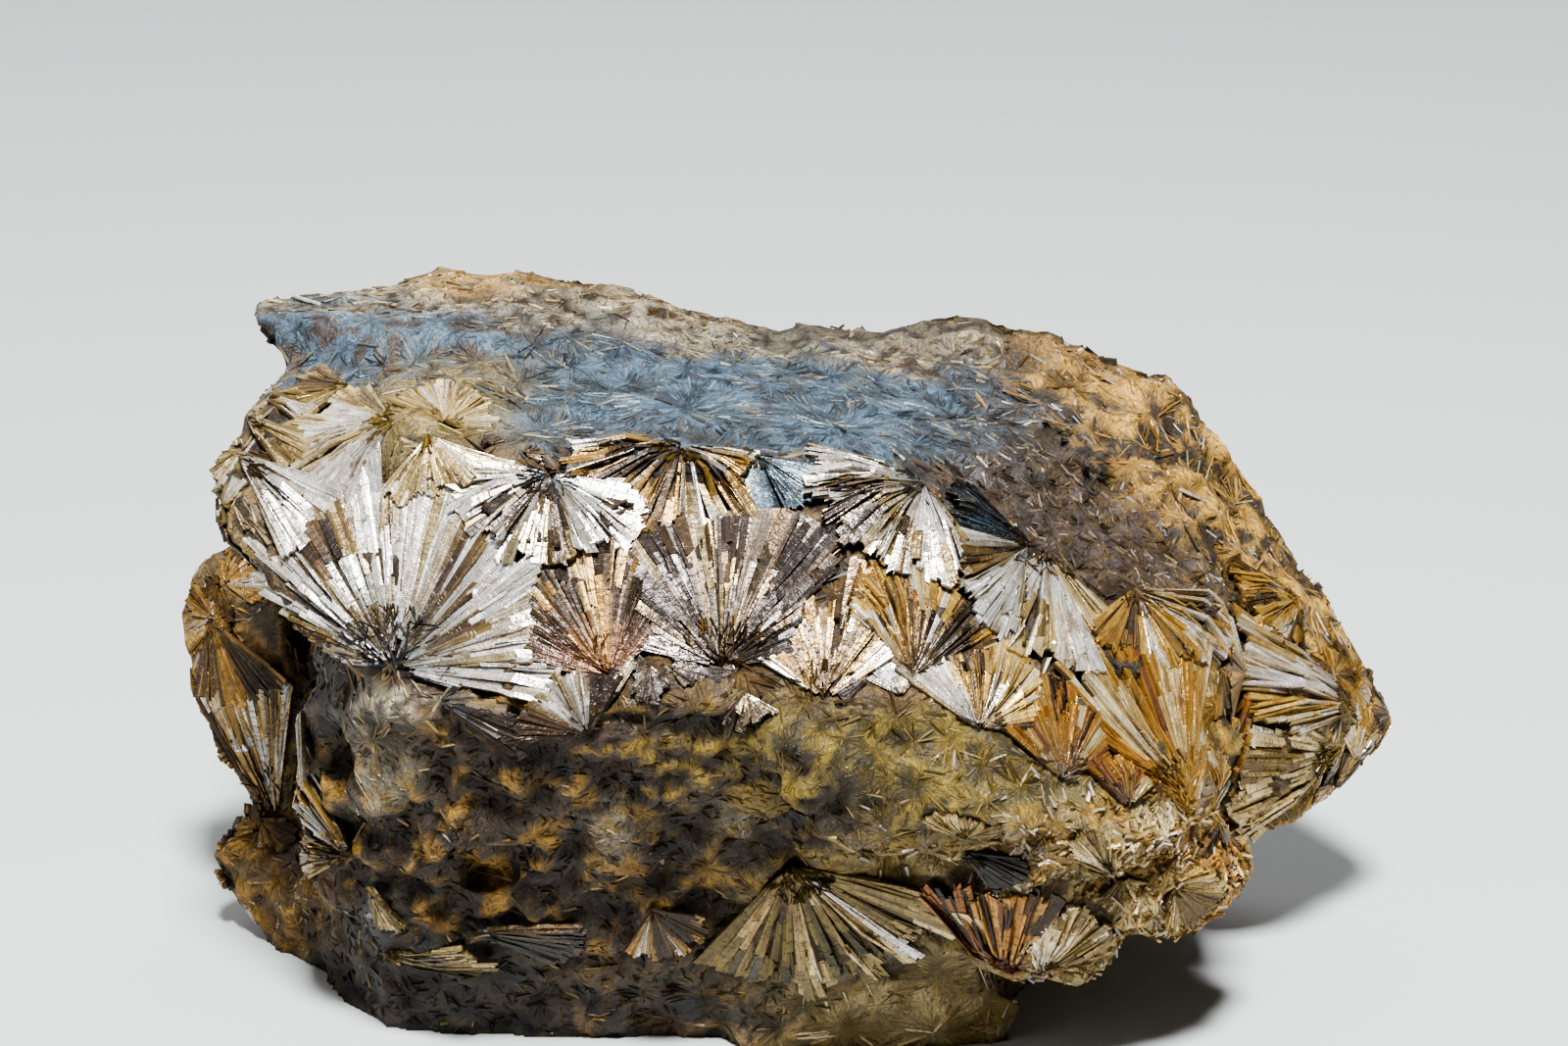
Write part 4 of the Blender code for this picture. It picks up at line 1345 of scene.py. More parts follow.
SHADED_FANS = (
    FanPlan(-41.4, -31.9, 130, 84, 15.0, Look.BRONZE, 0.85, 0.6, UMBER, tone=0.5, rank=3),
    FanPlan(-42.7, -31.4, 182, 46, 7.0, Look.BRONZE, 0.6, 0.4, UMBER),
    FanPlan(-48.7, -28.5, 104, 46, 16.0, Look.BRONZE, 0.8, 0.4, BROWN),
    FanPlan(-55.0, -9.0, 290, 70, 10.0, Look.GOLDEN, 0.7, 0.3, BROWN, tone=-0.3),
    FanPlan(17.3, -31.7, 315, 76, 9.6, Look.DARK, 0.6, 0.2, NIGHT, tone=0.1, rank=1),
    FanPlan(21.6, -43.5, 108, 80, 8.5, Look.ORANGE, 0.8, 0.4, RUST, tone=-0.4),
    FanPlan(24.6, -43.6, 58, 80, 7.0, Look.STRAWY, 0.8, 0.4, BROWN, tone=0.5),
    FanPlan(31.4, -33.6, 140, 80, 6.0, Look.STRAWY, 0.36, 0.2, UMBER, rank=1),
    FanPlan(32.8, -34.5, 275, 120, 6.2, Look.STRAWY, 0.40, 0.2, OLIVE, rank=1),
    FanPlan(17.3, -30.4, 85, 150, 5.0, Look.STRAWY, 0.34, 0.2, OLIVE, tone=0.1, rank=1),
    FanPlan(37.5, -35.0, 300, 120, 6.0, Look.STRAWY, 0.40, 0.2, OLIVE, rank=1),
    FanPlan(0.6, -32.8, 297, 112, 12.6, Look.MOSSY, 0.60, 0.1, OLIVE, tone=0.2, habit=SMOOTH),
    FanPlan(-39.4, -41.4, 354, 34, 9.0, Look.MOSSY, 0.45, 0.1, NIGHT, tone=-0.1),
    FanPlan(-30.0, -39.0, 350, 38, 8.0, Look.UMBRY, 0.45, 0.1, NIGHT, tone=0.15),
    FanPlan(-12.6, -37.0, 300, 100, 4.4, Look.BRONZE, 0.40, 0.1, UMBER, tone=-0.2),
    FanPlan(-39.8, -34.8, 300, 90, 5.4, Look.MOSSY, 0.34, 0.2, OLIVE, tone=-0.2, rank=1),
)
FELTED_FANS = (
    FanPlan(-23.0, 8.6, 80, 220, 6.0, Look.STEELY),
    FanPlan(-9.0, 11.0, 90, 300, 6.0, Look.STEELY),
    FanPlan(5.0, 9.0, 90, 300, 6.0, Look.STEELY),
    FanPlan(15.0, 10.0, 90, 300, 6.0, Look.STEELY),
)


# Fewest of the eye's rays that place a fan, the least that its plane faces the eye, as a cosine and
# sine, and how far fans of the middle rank run on, to meet their neighbours.
FEWEST_HITS = 8
STEEPEST_FACING = (0.42, 0.907)
UNDERLAP = 1.4
DISPLAY_FANS = {
    "upper_left_blades": UPPER_LEFT_FANS,
    "upper_row_blades": UPPER_ROW_FANS,
    "lower_row_blades": LOWER_ROW_FANS,
    "far_right_blades": FAR_RIGHT_FANS,
    "shaded_blades": SHADED_FANS,
}
SIDE_PLANS = tuple(
    FanPlan(0, 0, 0, 0, 0, look, 0.8, tone=-0.15)
    for look in (
        Look.GOLDEN, Look.BRONZE, Look.SILVER, Look.ORANGE, Look.PLUMMY, Look.BRONZE, Look.GOLDEN,
        Look.MOSSY,
    )
)


def display_sheet(surface: Surface, plan: FanPlan) -> Sheet | None:
    """Finds the sheet of a named fan from the part of the lump that the fan covers.

    Args:
        surface: The lump.
        plan: The fan.

    Returns:
        Its sheet, or None where the eye's rays miss the lump.
    """
    hits = []
    for out in (0.15, 0.35, 0.55, 0.75, 0.95):
        for turn in np.linspace(-0.45, 0.45, 7) * min(plan.spread, 100):
            angle, radius = math.radians(plan.heading + turn), out * plan.reach
            ray = EYE.ray(plan.right + math.cos(angle) * radius, plan.up + math.sin(angle) * radius)
            hit, _, _, _ = surface.tree.ray_cast(EYE.place, ray)
            if hit:
                hits.append(hit)
    if len(hits) < FEWEST_HITS:
        return None
    middle, normal = fit_plane(np.array(hits), np.array(EYE.place))
    toward = (EYE.place - middle).normalized()
    if normal.dot(toward) < STEEPEST_FACING[0]:
        level = (normal - toward * normal.dot(toward)).normalized()
        normal = (toward * STEEPEST_FACING[0] + level * STEEPEST_FACING[1]).normalized()
    focus = EYE.on_sheet(plan.right, plan.up, middle, normal)
    turn = math.radians(plan.heading)
    tip = EYE.on_sheet(plan.right + math.cos(turn) * 3, plan.up + math.sin(turn) * 3, middle, normal)
    forward = (tip - focus).normalized()
    reach = plan.reach * (UNDERLAP if plan.rank == 2 else 1.0)
    return Sheet(surface, focus, normal, forward, math.radians(plan.spread), reach, plan.lift, plan.rank)


def fit_plane(points: Array, eye: Array) -> tuple[Vector, Vector]:
    """Fits a plane to points, without the ones that stray.

    Args:
        points: The points, one a row.
        eye: A place on the side that the plane's normal points to.

    Returns:
        A place on the plane, and its normal.
    """
    kept = points
    for most in (4.0, 2.2, 2.2):
        middle = np.median(kept, axis=0) if most > 3 else kept.mean(axis=0)
        normal = np.linalg.svd(kept - middle)[2][2]
        off = np.abs((points - middle) @ normal)
        kept = points[off < max(most, np.quantile(off, 0.6))]
    middle = kept.mean(axis=0)
    normal = np.linalg.svd(kept - middle)[2][2]
    if normal @ (eye - middle) < 0:
        normal = -normal
    return Vector(middle), Vector(normal)


@dataclass(frozen=True)
class SidePlates:
    """The solid's fans on the hidden sides: a spiral of directions, each with its own seed.

    Attributes:
        facing: Most that a fan faces the eye.
        lowest: Least height of its outward direction.
        level: What the fans' headings are measured from.
        wider: How much wider the blades spread than in the solid, in degrees.
        longer: How many times longer they reach.
    """

    directions: int = 76
    seed: int = 11
    centre: Triple = (-0.01, -1.10, 34.0)
    reach: Pair = (8.0, 13.0)
    spread: Pair = (100.0, 170.0)
    facing: float = -0.02
    lowest: float = -0.85
    foot: float = 6.0
    level: Triple = (0.3, 0.4, 1.0)
    wider: float = 40.0
    longer: float = 1.5

    def sheets(self, surface: Surface) -> list[Sheet]:
        """The sheets of the side fans."""
        found = []
        golden = math.pi * (3 - math.sqrt(5))
        for index in range(self.directions):
            rng = random.Random(self.seed * 1000 + index)
            height = 1 - 2 * (index + 0.5) / self.directions
            ring = math.sqrt(1 - height * height)
            outward = Vector((ring * math.cos(golden * index), ring * math.sin(golden * index), height))
            focus, normal, _, _ = surface.tree.ray_cast(Vector(self.centre) + outward * 90, -outward)
            angle, reach = rng.uniform(0, math.tau), rng.uniform(*self.reach)
            spread = rng.uniform(*self.spread)
            if focus is None or focus.z < self.foot:
                continue
            normal = surface.mean_normal(focus, normal, reach * 0.5)
            if EYE.sees(focus, normal, self.facing) or normal.z < self.lowest:
                continue
            forward = Matrix.Rotation(angle, 3, normal) @ normal.cross(Vector(self.level)).normalized()
            spread, reach = math.radians(spread + self.wider), reach * self.longer
            found.append(Sheet(surface, focus, normal, forward, spread, reach, rng.uniform(0.0, 0.2), 2))
        return found


@dataclass(frozen=True)
class SmallFans:
    """Smaller fans that fill what the large ones leave, as each zone has them.

    Attributes:
        surest: Least share of its zone where a fan of blades grows.
        sunk: How far below the lump its tips end.
    """

    tries: int = 9000
    seed: int = 5
    surest: float = 0.5
    sunk: float = 0.35

    def grow(self, surface: Surface, ground: Ground, fans: Field) -> int:
        """Adds the small fans.

        Args:
            surface: The lump.
            ground: Its zones.
            fans: The fans so far.

        Returns:
            How many fans were added.
        """
        rng = np.random.default_rng(self.seed)
        points, normals, _ = surface.scatter(self.tries, rng)
        zones, weights = ground.weights(points, normals)
        picks = weights.argmax(1)
        before = len(fans.sheets)
        for point, normal, pick, sure in zip(points, normals, picks, weights.max(1)):
            zone, spot, outward = zones[pick], Vector(point), Vector(normal)
            unsure = sure < self.surest and isinstance(zone.habit, Habit)
            if spot.z < 0.6 or unsure or fans.covers(spot, outward):
                continue
            reach = rng.uniform(*zone.reach)
            mean = surface.mean_normal(spot, outward, reach * 0.5)
            forward = Matrix.Rotation(rng.uniform(0, math.tau), 3, mean) @ mean.orthogonal().normalized()
            spread = math.radians(360.0 if isinstance(zone.habit, Felt) else rng.uniform(100, 200))
            rings, rays = (5, 13) if reach > 4 else (4, 9)
            sheet = Sheet(surface, spot, mean, forward, spread, reach, -self.sunk, 1, rings, rays)
            fans.add(sheet, zone)
        return len(fans.sheets) - before


# The skin -------------------------------------------------


@dataclass(frozen=True)
class RockSkin:
    """The lump's own surface: the solid, made fine, sunk under the blades and roughened.

    Attributes:
        voxel: Size of its faces.
        sink: How far bare rock sinks, so that its relief stays within the solid.
        under: How far rock under blades sinks.
        lump_sink: How far it sinks for each depth of a zone's relief.
        bumps: Sizes of the bumps, and their heights.
        hidden: Brightness of rock under blades, a painted shade that shows in the gaps between them.
        shade: Brightness of level rock, its change with the relief, and the least and most, which paint
            shade in the hollows and light on the bumps.
    """

    voxel: float = 0.68
    sink: float = 0.14
    under: float = 0.55
    lump_sink: float = 0.45
    bumps: tuple[Pair, ...] = ((4.2, 1.0), (1.9, 0.5), (0.9, 0.25))
    hidden: float = 0.3
    shade: tuple[float, float, float, float] = (0.85, 1.1, 0.2, 1.25)

    def build(self, solid: Object, ground: Ground, fans: Field, material: Material) -> Object:
        """Makes the skin.

        Args:
            solid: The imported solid, which the skin replaces.
            ground: The zones that give the bare rock its colours.
            fans: The fans, whose grain the rock shares.
            material: The rock's finish.

        Returns:
            The skin's object.
        """
        skin = self._copy_finely(solid)
        mesh = skin.data
        places = read(mesh.vertices, "co", 3).astype(float) / MM
        normals = read(mesh.vertices, "normal", 3).astype(float)
        zones, weights = ground.weights(places, normals)
        bladed = fans.bladed(places, normals)
        lumps = weights @ np.array([zone.lumps for zone in zones])
        relief = sum(height * noise_at(places, size) for size, height in self.bumps) * lumps
        # The relief also paints the bare rock: darker in its hollows as shade, paler on its bumps as
        # light.
        level, change, least, most = self.shade
        # Rock under blades is painted dark, as shade that shows in the gaps between them.
        shade = np.where(bladed, self.hidden, np.clip(level + change * relief, least, most))
        self._colour(mesh, places, zones, weights, shade)
        self._add_grain(mesh, places, fans)
        sink = np.where(bladed, self.under, self.sink) + self.lump_sink * lumps
        self._roughen(mesh, places, normals, relief - sink)
        mesh.materials.clear()
        mesh.materials.append(material)
        mesh.shade_smooth()
        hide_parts(NODE)
        return finish_piece(skin)

    def _copy_finely(self, solid: Object) -> Object:
        """Copies the solid and gives the copy small even faces."""
        bpy.ops.object.select_all(action="DESELECT")
        solid.select_set(True)
        bpy.context.view_layer.objects.active = solid
        bpy.ops.object.duplicate()
        skin = bpy.context.object
        skin.name = "rock_skin"
        bpy.ops.object.parent_clear(type="CLEAR_KEEP_TRANSFORM")
        bpy.ops.object.mode_set(mode="EDIT")
        bpy.ops.mesh.select_all(action="SELECT")
        bpy.ops.mesh.remove_doubles(threshold=1e-6)
        bpy.ops.object.mode_set(mode="OBJECT")
        remesh = skin.modifiers.new("even", "REMESH")
        remesh.mode = "VOXEL"
        remesh.voxel_size = self.voxel * MM
        bpy.ops.object.modifier_apply(modifier=remesh.name)
        return skin

    @staticmethod
    def _roughen(mesh: Mesh, places: Array, normals: Array, height: Array) -> None:
        """Sinks the skin and gives it relief, but not its foot."""
        foot = places[:, 2] < 0.3
        moved = places + normals * np.minimum(height, 0.0)[:, None]
        moved[foot] = places[foot]
        moved[:, 2] = np.where(foot, 0.0, np.maximum(moved[:, 2], 0.0))
        write(mesh.vertices, "co", moved * MM)
        mesh.update()

    @staticmethod
    def _colour(mesh: Mesh, places: Array, zones: list[Zone], weights: Array, shade: Array) -> None:
        """Gives each vertex its zone's colours, times a brightness that holds painted shade and light, as
        the attribute Ground.
        """
        share = weights @ np.array([zone.patch[0] for zone in zones])
        sizes = np.array([zone.patch[1] for zone in zones])[weights.argmax(1)]
        shift = Vector((50.0, 20.0, -30.0))
        spots = [Vector(place) / size + shift for place, size in zip(places, sizes)]
        level = np.array([noise.fractal(spot, 0.8, 2.0, 2) for spot in spots])
        spread = np.argsort(np.argsort(level)) / len(level)
        mix = np.clip((spread - (1 - share)) * 6 + 0.5, 0, 1)[:, None]
        first, second = (np.array([zone.ground[number] for zone in zones]) for number in (0, 1))
        colour = (weights @ first) * (1 - mix) + (weights @ second) * mix
        # A brightness under 1 mixes in dark umber as painted shade; over 1 it brightens the colour as
        # painted light.
        dark = np.minimum(shade, 1.0)[:, None]
        colour = np.maximum(shade, 1.0)[:, None] * (colour * dark + 0.6 * np.array(UMBER) * (1 - dark))
        add_colours(mesh, "Ground", np.concatenate([colour, np.ones((len(colour), 1))], axis=1))

    @staticmethod
    def _add_grain(mesh: Mesh, places: Array, fans: Field) -> None:
        """A map in millimetres along and across the rays of the fan that each face belongs to."""
        centres = read(mesh.polygons, "center", 3).astype(float) / MM
        owner = fans.owners(centres, read(mesh.polygons, "normal", 3).astype(float))
        vertices = read(mesh.loops, "vertex_index", 1, np.int32)
        totals = read(mesh.polygons, "loop_total", 1, np.int32)
        face = np.repeat(np.arange(len(mesh.polygons)), totals)
        values = np.zeros((len(vertices), 2))
        for index, sheet in enumerate(fans.sheets):
            loops = np.flatnonzero(owner[face] == index)
            if not len(loops):
                continue
            radius, angle, _ = sheet.polar(places[vertices[loops]])
            _, middle, _ = sheet.polar(centres[face[loops]])
            angle = middle + (angle - middle + math.pi) % math.tau - math.pi
            values[loops, 0] = radius + 37.0 * index
            values[loops, 1] = angle * 0.6 * sheet.reach + 11.0 * index
        add_map(mesh, "Grain", values)


@dataclass(frozen=True)
class Mats:
    """Needles over all that the blades leave bare, pointing away from the nearest focus.

    Attributes:
        density: Most needles for each square millimetre.
        swirl: How far currents turn the needles from their rays.
        current: Size of those currents.
        core: Distance from a focus within which the currents take over.
        broadest: Most breadth of a needle on the display side, and round the other sides.
    """

    density: float = 6.0
    swirl: float = 0.9
    current: float = 4.5
    core: float = 1.6
    seed: int = 23
    broadest: Pair = (0.36, 0.50)

    def lay(self, skin: Object, ground: Ground, fans: Field, pieces: dict[str, BladePiece]) -> None:
        """Lays the needles of every zone.

        Args:
            skin: The roughened skin, with its colours.
            ground: The zones.
            fans: The fans, of which those without blades give the needles their foci.
            pieces: The pieces that take the needles.
        """
        rng = np.random.default_rng(self.seed)
        surface = Surface(skin)
        points, normals, faces = surface.scatter(int(surface.areas.sum() / 2 * self.density), rng)
        clear = np.flatnonzero((points[:, 2] > 0.5) & ~fans.bladed(points, normals))
        points, normals, faces = points[clear], normals[clear], faces[clear]
        zones, weights = ground.weights(points, normals)
        picks = (weights.cumsum(1) > rng.random((len(points), 1))).argmax(1)
        heading = self._heading(points, normals, fans)
        # The skin's colours carry its painted shade and light into the needles.
        rock = read(skin.data.attributes["Ground"].data, "color", 4)
        rock = rock[surface.faces[faces, 0], :3].astype(float)
        toward = np.array(EYE.place) - points
        front = (toward * normals).sum(1) > -0.05 * np.linalg.norm(toward, axis=1)
        luck = rng.random(len(points))
        for number, zone in enumerate(zones):
            felt = zone.habit if isinstance(zone.habit, Felt) else GAPS
            breadth = min(zone.blade, self.broadest[number >= len(ZONES)])
            chance = zone.cover * felt.layers / (self.density * breadth * breadth * felt.length)
            kept = (picks == number) & (luck < chance)
            kind = "_felt" if felt is FELT else "_crust"
            for side, mask in (("front", front), ("rear", ~front)):
                some = np.flatnonzero(kept & mask)
                if len(some):
                    tables = (table[some] for table in (points, normals, heading, rock))
                    pieces[side + kind].add_needles(surface, *tables, zone, felt, breadth)

    def _heading(self, points: Array, normals: Array, fans: Field) -> Array:
        """The direction of a needle at each point."""
        away = points - np.array([sheet.focus for sheet in fans.sheets])[fans.owners(points, normals)]
        away /= np.maximum(np.linalg.norm(away, axis=1, keepdims=True), self.core)
        flow = np.array([noise.noise_vector(Vector(point) / self.current) for point in points])
        heading = away + self.swirl * flow
        heading -= normals * (heading * normals).sum(1, keepdims=True)
        return heading / np.maximum(np.linalg.norm(heading, axis=1, keepdims=True), 1e-6)


# Materials ------------------------------------------------


@dataclass(frozen=True)
class Patches:
    """Noise cut into patches: its frequency for each metre, its octaves and their strength, and the
    values between which a patch's edge fades."""

    scale: float
    detail: float
    roughness: float
    edges: Pair


class Nodes:
    """Helps to build a node tree."""

    def __init__(self, tree: NodeTree) -> None:
        """Takes the tree to build in."""
        self.tree = tree

    def add(self, kind: str, **values: object) -> bpy.types.Node:
        """Adds a node and sets its properties and inputs.

        Args:
            kind: The node's type, without the words that all types start with.
            values: Properties by name, or inputs by name with spaces as underscores.

        Returns:
            The node.
        """
        node = self.tree.nodes.new("ShaderNode" + kind)
        for name, value in values.items():
            if hasattr(node, name):
                setattr(node, name, value)
            else:
                node.inputs[name.replace("_", " ")].default_value = value
        return node

    def ends(self) -> tuple[bpy.types.NodeOutputs, bpy.types.NodeInputs]:
        """What a group is given, and what it puts out."""
        given, result = self.tree.nodes.new("NodeGroupInput"), self.tree.nodes.new("NodeGroupOutput")
        return given.outputs, result.inputs

    def link(self, source: Socket, target: Socket) -> None:
        """Joins an output to an input."""
        self.tree.links.new(source, target)

    def feed(self, value: object, target: Socket) -> None:
        """Gives an input a socket to read, or a value of its own."""
        if isinstance(value, Socket):
            self.link(value, target)
        else:
            target.default_value = (*value[:3], 1.0) if isinstance(value, tuple) else value

    def math(self, operation: str, first: object, second: object = 0.0, clamp: bool = False) -> Socket:
        """Adds a Math node whose inputs are sockets or numbers."""
        node = self.add("Math", operation=operation, use_clamp=clamp)
        for slot, value in enumerate((first, second)):
            self.feed(value, node.inputs[slot])
        return node.outputs[0]

    def times(self, first: object, second: object) -> Socket:
        """One value times another."""
        return self.math("MULTIPLY", first, second)

    def plus(self, first: object, second: object, factor: float | None = None) -> Socket:
        """One value and another, or a share of the other."""
        return self.math("ADD", first, second if factor is None else self.times(second, factor))

    def less(self, first: object, second: object) -> Socket:
        """One value without another."""
        return self.math("SUBTRACT", first, second)

    def mix(self, mode: str, factor: object, first: object, second: object) -> Socket:
        """Adds a colour Mix node whose inputs are sockets or values."""
        node = self.add("Mix", data_type="RGBA", blend_type=mode)
        for name, value in (("Factor_Float", factor), ("A_Color", first), ("B_Color", second)):
            self.feed(value, next(item for item in node.inputs if item.identifier == name))
        return next(item for item in node.outputs if item.identifier == "Result_Color")

    def grey(self, value: Socket) -> Socket:
        """A number as a grey colour."""
        node = self.add("CombineColor")
        for channel in node.inputs:
            self.link(value, channel)
        return node.outputs[0]

    def ramp(self, value: Socket, low: float, high: float) -> Socket:
        """Turns values from low to high into 0 to 1, smoothly."""
        node = self.add("MapRange", interpolation_type="SMOOTHSTEP", From_Min=low, From_Max=high)
        self.link(value, node.inputs["Value"])
        return node.outputs["Result"]

    def noise(self, place: Socket, scale: float, detail: float, roughness: float) -> Socket:
        """Noise at a place, from 0 to 1."""
        node = self.add("TexNoise", Scale=scale, Detail=detail, Roughness=roughness)
        self.link(place, node.inputs["Vector"])
        return node.outputs["Fac"]

    def patches(self, place: Socket, kind: Patches) -> Socket:
        """Patches of noise, as a mask."""
        return self.ramp(self.noise(place, kind.scale, kind.detail, kind.roughness), *kind.edges)

    def streaks(
        self, along: float, across: object, detail: float, roughness: float, bend: Socket | None = None
    ) -> Socket:
        """Noise on the map Grain, by its frequencies for each millimetre along and across the rays."""
        parts, place = self.add("SeparateXYZ"), self.add("CombineXYZ")
        self.link(self.add("UVMap", uv_map="Grain").outputs["UV"], parts.inputs[0])
        for axis, frequency in (("X", along), ("Y", across)):
            spot = parts.outputs[axis] if bend is None else self.plus(parts.outputs[axis], bend)
            self.link(self.times(spot, frequency), place.inputs[axis])
        return self.noise(place.outputs[0], 1.0, detail, roughness)

    def object_place(self) -> Socket:
        """Each point's place in its object."""
        return self.add("TexCoord").outputs["Object"]

    def bump(self, height: Socket, depth: float) -> Socket:
        """The normal of a relief of this depth in millimetres."""
        node = self.add("Bump", Strength=1.0, Distance=depth * MM)
        self.link(height, node.inputs["Height"])
        return node.outputs["Normal"]


def new_material(name: str) -> tuple[Material, Nodes, bpy.types.NodeInputs]:
    """Makes a material, with a helper for its nodes and its shader's inputs."""
    material = bpy.data.materials.new(name)
    material.use_nodes = True
    shader = material.node_tree.nodes["Principled BSDF"]
    return material, Nodes(material.node_tree), shader.inputs


def new_group(name: str, inputs: dict[str, tuple[str, object]], outputs: dict[str, str]) -> NodeTree:
    """Makes an empty shader node group with these sockets."""
    group = bpy.data.node_groups.new(name, "ShaderNodeTree")
    for label, (kind, value) in inputs.items():
        socket = group.interface.new_socket(name=label, in_out="INPUT", socket_type=kind)
        if value is not None:
            socket.default_value = value
    for label, kind in outputs.items():
        group.interface.new_socket(name=label, in_out="OUTPUT", socket_type=kind)
    return group


@dataclass(frozen=True)
class Grime:
    """Rust stains and dark dust in patches over the lump, as a group that its materials share."""

    rust: Patches = Patches(260.0, 8.0, 0.72, (0.52, 0.72))
    dust: Patches = Patches(520.0, 8.0, 0.8, (0.54, 0.74))
    specks: Patches = Patches(1900.0, 2.0, 0.5, (0.66, 0.74))

    def build(self) -> NodeTree:
        """Makes the group."""
        group = new_group(
            "grime",
            {
                "Color": ("NodeSocketColor", (0.5, 0.5, 0.5, 1)),
                "Rust": ("NodeSocketFloat", 0.4),
                "Dust": ("NodeSocketFloat", 0.4),
            },
            {"Color": "NodeSocketColor", "Dirt": "NodeSocketFloat"},
        )
        nodes = Nodes(group)
        given, result = nodes.ends()
        place = nodes.object_place()
        stain, dust, specks = (nodes.patches(place, kind) for kind in (self.rust, self.dust, self.specks))
        dark, spots = (nodes.times(mask, given["Dust"]) for mask in (dust, specks))
        dirt = nodes.math("MAXIMUM", dark, spots, clamp=True)
        stained = nodes.mix("MULTIPLY", nodes.times(stain, given["Rust"]), given["Color"], RUST_STAIN)
        nodes.link(nodes.mix("MIX", dirt, stained, UMBER), result["Color"])
        nodes.link(dirt, result["Dirt"])
        return group


def striation() -> NodeTree:
    """Lines along a blade, bands of colour and cracks across it, as a group that the finishes share."""
    group = new_group(
        "striation",
        {"Fineness": ("NodeSocketFloat", 5.0)},
        {"Lines": "NodeSocketFloat", "Bands": "NodeSocketFloat", "Cracks": "NodeSocketFloat"},
    )
    nodes = Nodes(group)
    given, result = nodes.ends()
    lines = nodes.streaks(0.22, given["Fineness"], 3.0, 0.62)
    bands = nodes.ramp(nodes.streaks(0.33, 0.9, 3.0, 0.62), 0.44, 0.60)
    offset = nodes.math("ABSOLUTE", nodes.less(nodes.streaks(1.1, 0.45, 2.0, 0.62), 0.5))
    nodes.link(lines, result["Lines"])
    nodes.link(bands, result["Bands"])
    nodes.link(nodes.less(1.0, nodes.ramp(offset, 0.0, 0.02)), result["Cracks"])
    return group


@dataclass(frozen=True)
class BladeFinish:
    """Pearly crystal blades.

    Attributes:
        lustre: Index of refraction, which sets how strongly a face mirrors the light.
        metal: Share of coloured, metal-like sheen.
        fineness: Lines for each millimetre across a blade.
        waves: Depth of the waves in a face, for each depth of its lines.
        shades: Brightness between the lines, and how much brighter a line is; the raised lines are partly
            the fibres' own streaks and partly painted highlight streaks.
        cracking: Strength of the cracks, in colour and in depth.
        depth: Strength of the shade at a blade's foot.
    """

    name: str
    lustre: float
    gloss: Pair
    metal: float
    fineness: float
    rust: float
    dust: float
    relief: float = 0.06
    waves: float = 1.5
    shades: Pair = (0.54, 0.58)
    banding: float = 0.65
    cracking: float = 0.6
    depth: float = 0.5

    def build(self, grime: NodeTree, striae: NodeTree) -> Material:
        """Makes the material."""
        material, nodes, shader = new_material(self.name)
        tint = nodes.add("Attribute", attribute_name="Tint").outputs
        polish = nodes.add("Attribute", attribute_name="Polish").outputs["Fac"]
        lines = nodes.add("Group", node_tree=striae, Fineness=self.fineness).outputs
        line, crack = lines["Lines"], lines["Cracks"]
        # The lines are raised in the relief too, so their paler colour is partly painted highlight
        # streaks and the darker grooves partly painted shade.
        shade = nodes.plus(self.shades[0], nodes.ramp(line, 0.34, 0.64), self.shades[1])
        bands = nodes.times(lines["Bands"], self.banding)
        stained = nodes.mix("MULTIPLY", bands, tint["Color"], BAND_STAIN)
        streaked = nodes.mix("MULTIPLY", 1.0, stained, nodes.grey(shade))
        worn = nodes.add("Group", node_tree=grime, Rust=self.rust, Dust=self.dust)
        nodes.link(streaked, worn.inputs["Color"])
        cracks = nodes.times(crack, self.cracking)
        cracked = nodes.mix("MIX", cracks, worn.outputs["Color"], UMBER)
        deep = nodes.less(1.0, nodes.ramp(tint["Alpha"], 0.05, 0.7))
        shadowed = nodes.mix("MULTIPLY", nodes.times(deep, self.depth), cracked, DEEP_SHADE)
        nodes.link(shadowed, shader["Base Color"])
        least, most = self.gloss
        dull = nodes.plus(nodes.times(nodes.times(polish, polish), most - least), least)
        dirty = nodes.times(nodes.math("MAXIMUM", worn.outputs["Dirt"], crack), 0.35)
        rough = nodes.math("ADD", nodes.plus(dull, line, 0.1), dirty, clamp=True)
        nodes.link(rough, shader["Roughness"])
        waves = nodes.noise(nodes.object_place(), 1100.0, 3.0, 0.6)
        height = nodes.less(nodes.plus(line, waves, self.waves), cracks)
        nodes.link(nodes.bump(height, self.relief), shader["Normal"])
        shader["IOR"].default_value = self.lustre
        shader["Metallic"].default_value = self.metal
        return material


PEARLY = BladeFinish("pearly_blades", 1.9, (0.17, 0.50), 0.62, 5.0, 0.5, 0.45)
FELTED = BladeFinish("felted_blades", 1.45, (0.32, 0.70), 0.20, 5.0, 0.4, 0.4, 0.02)


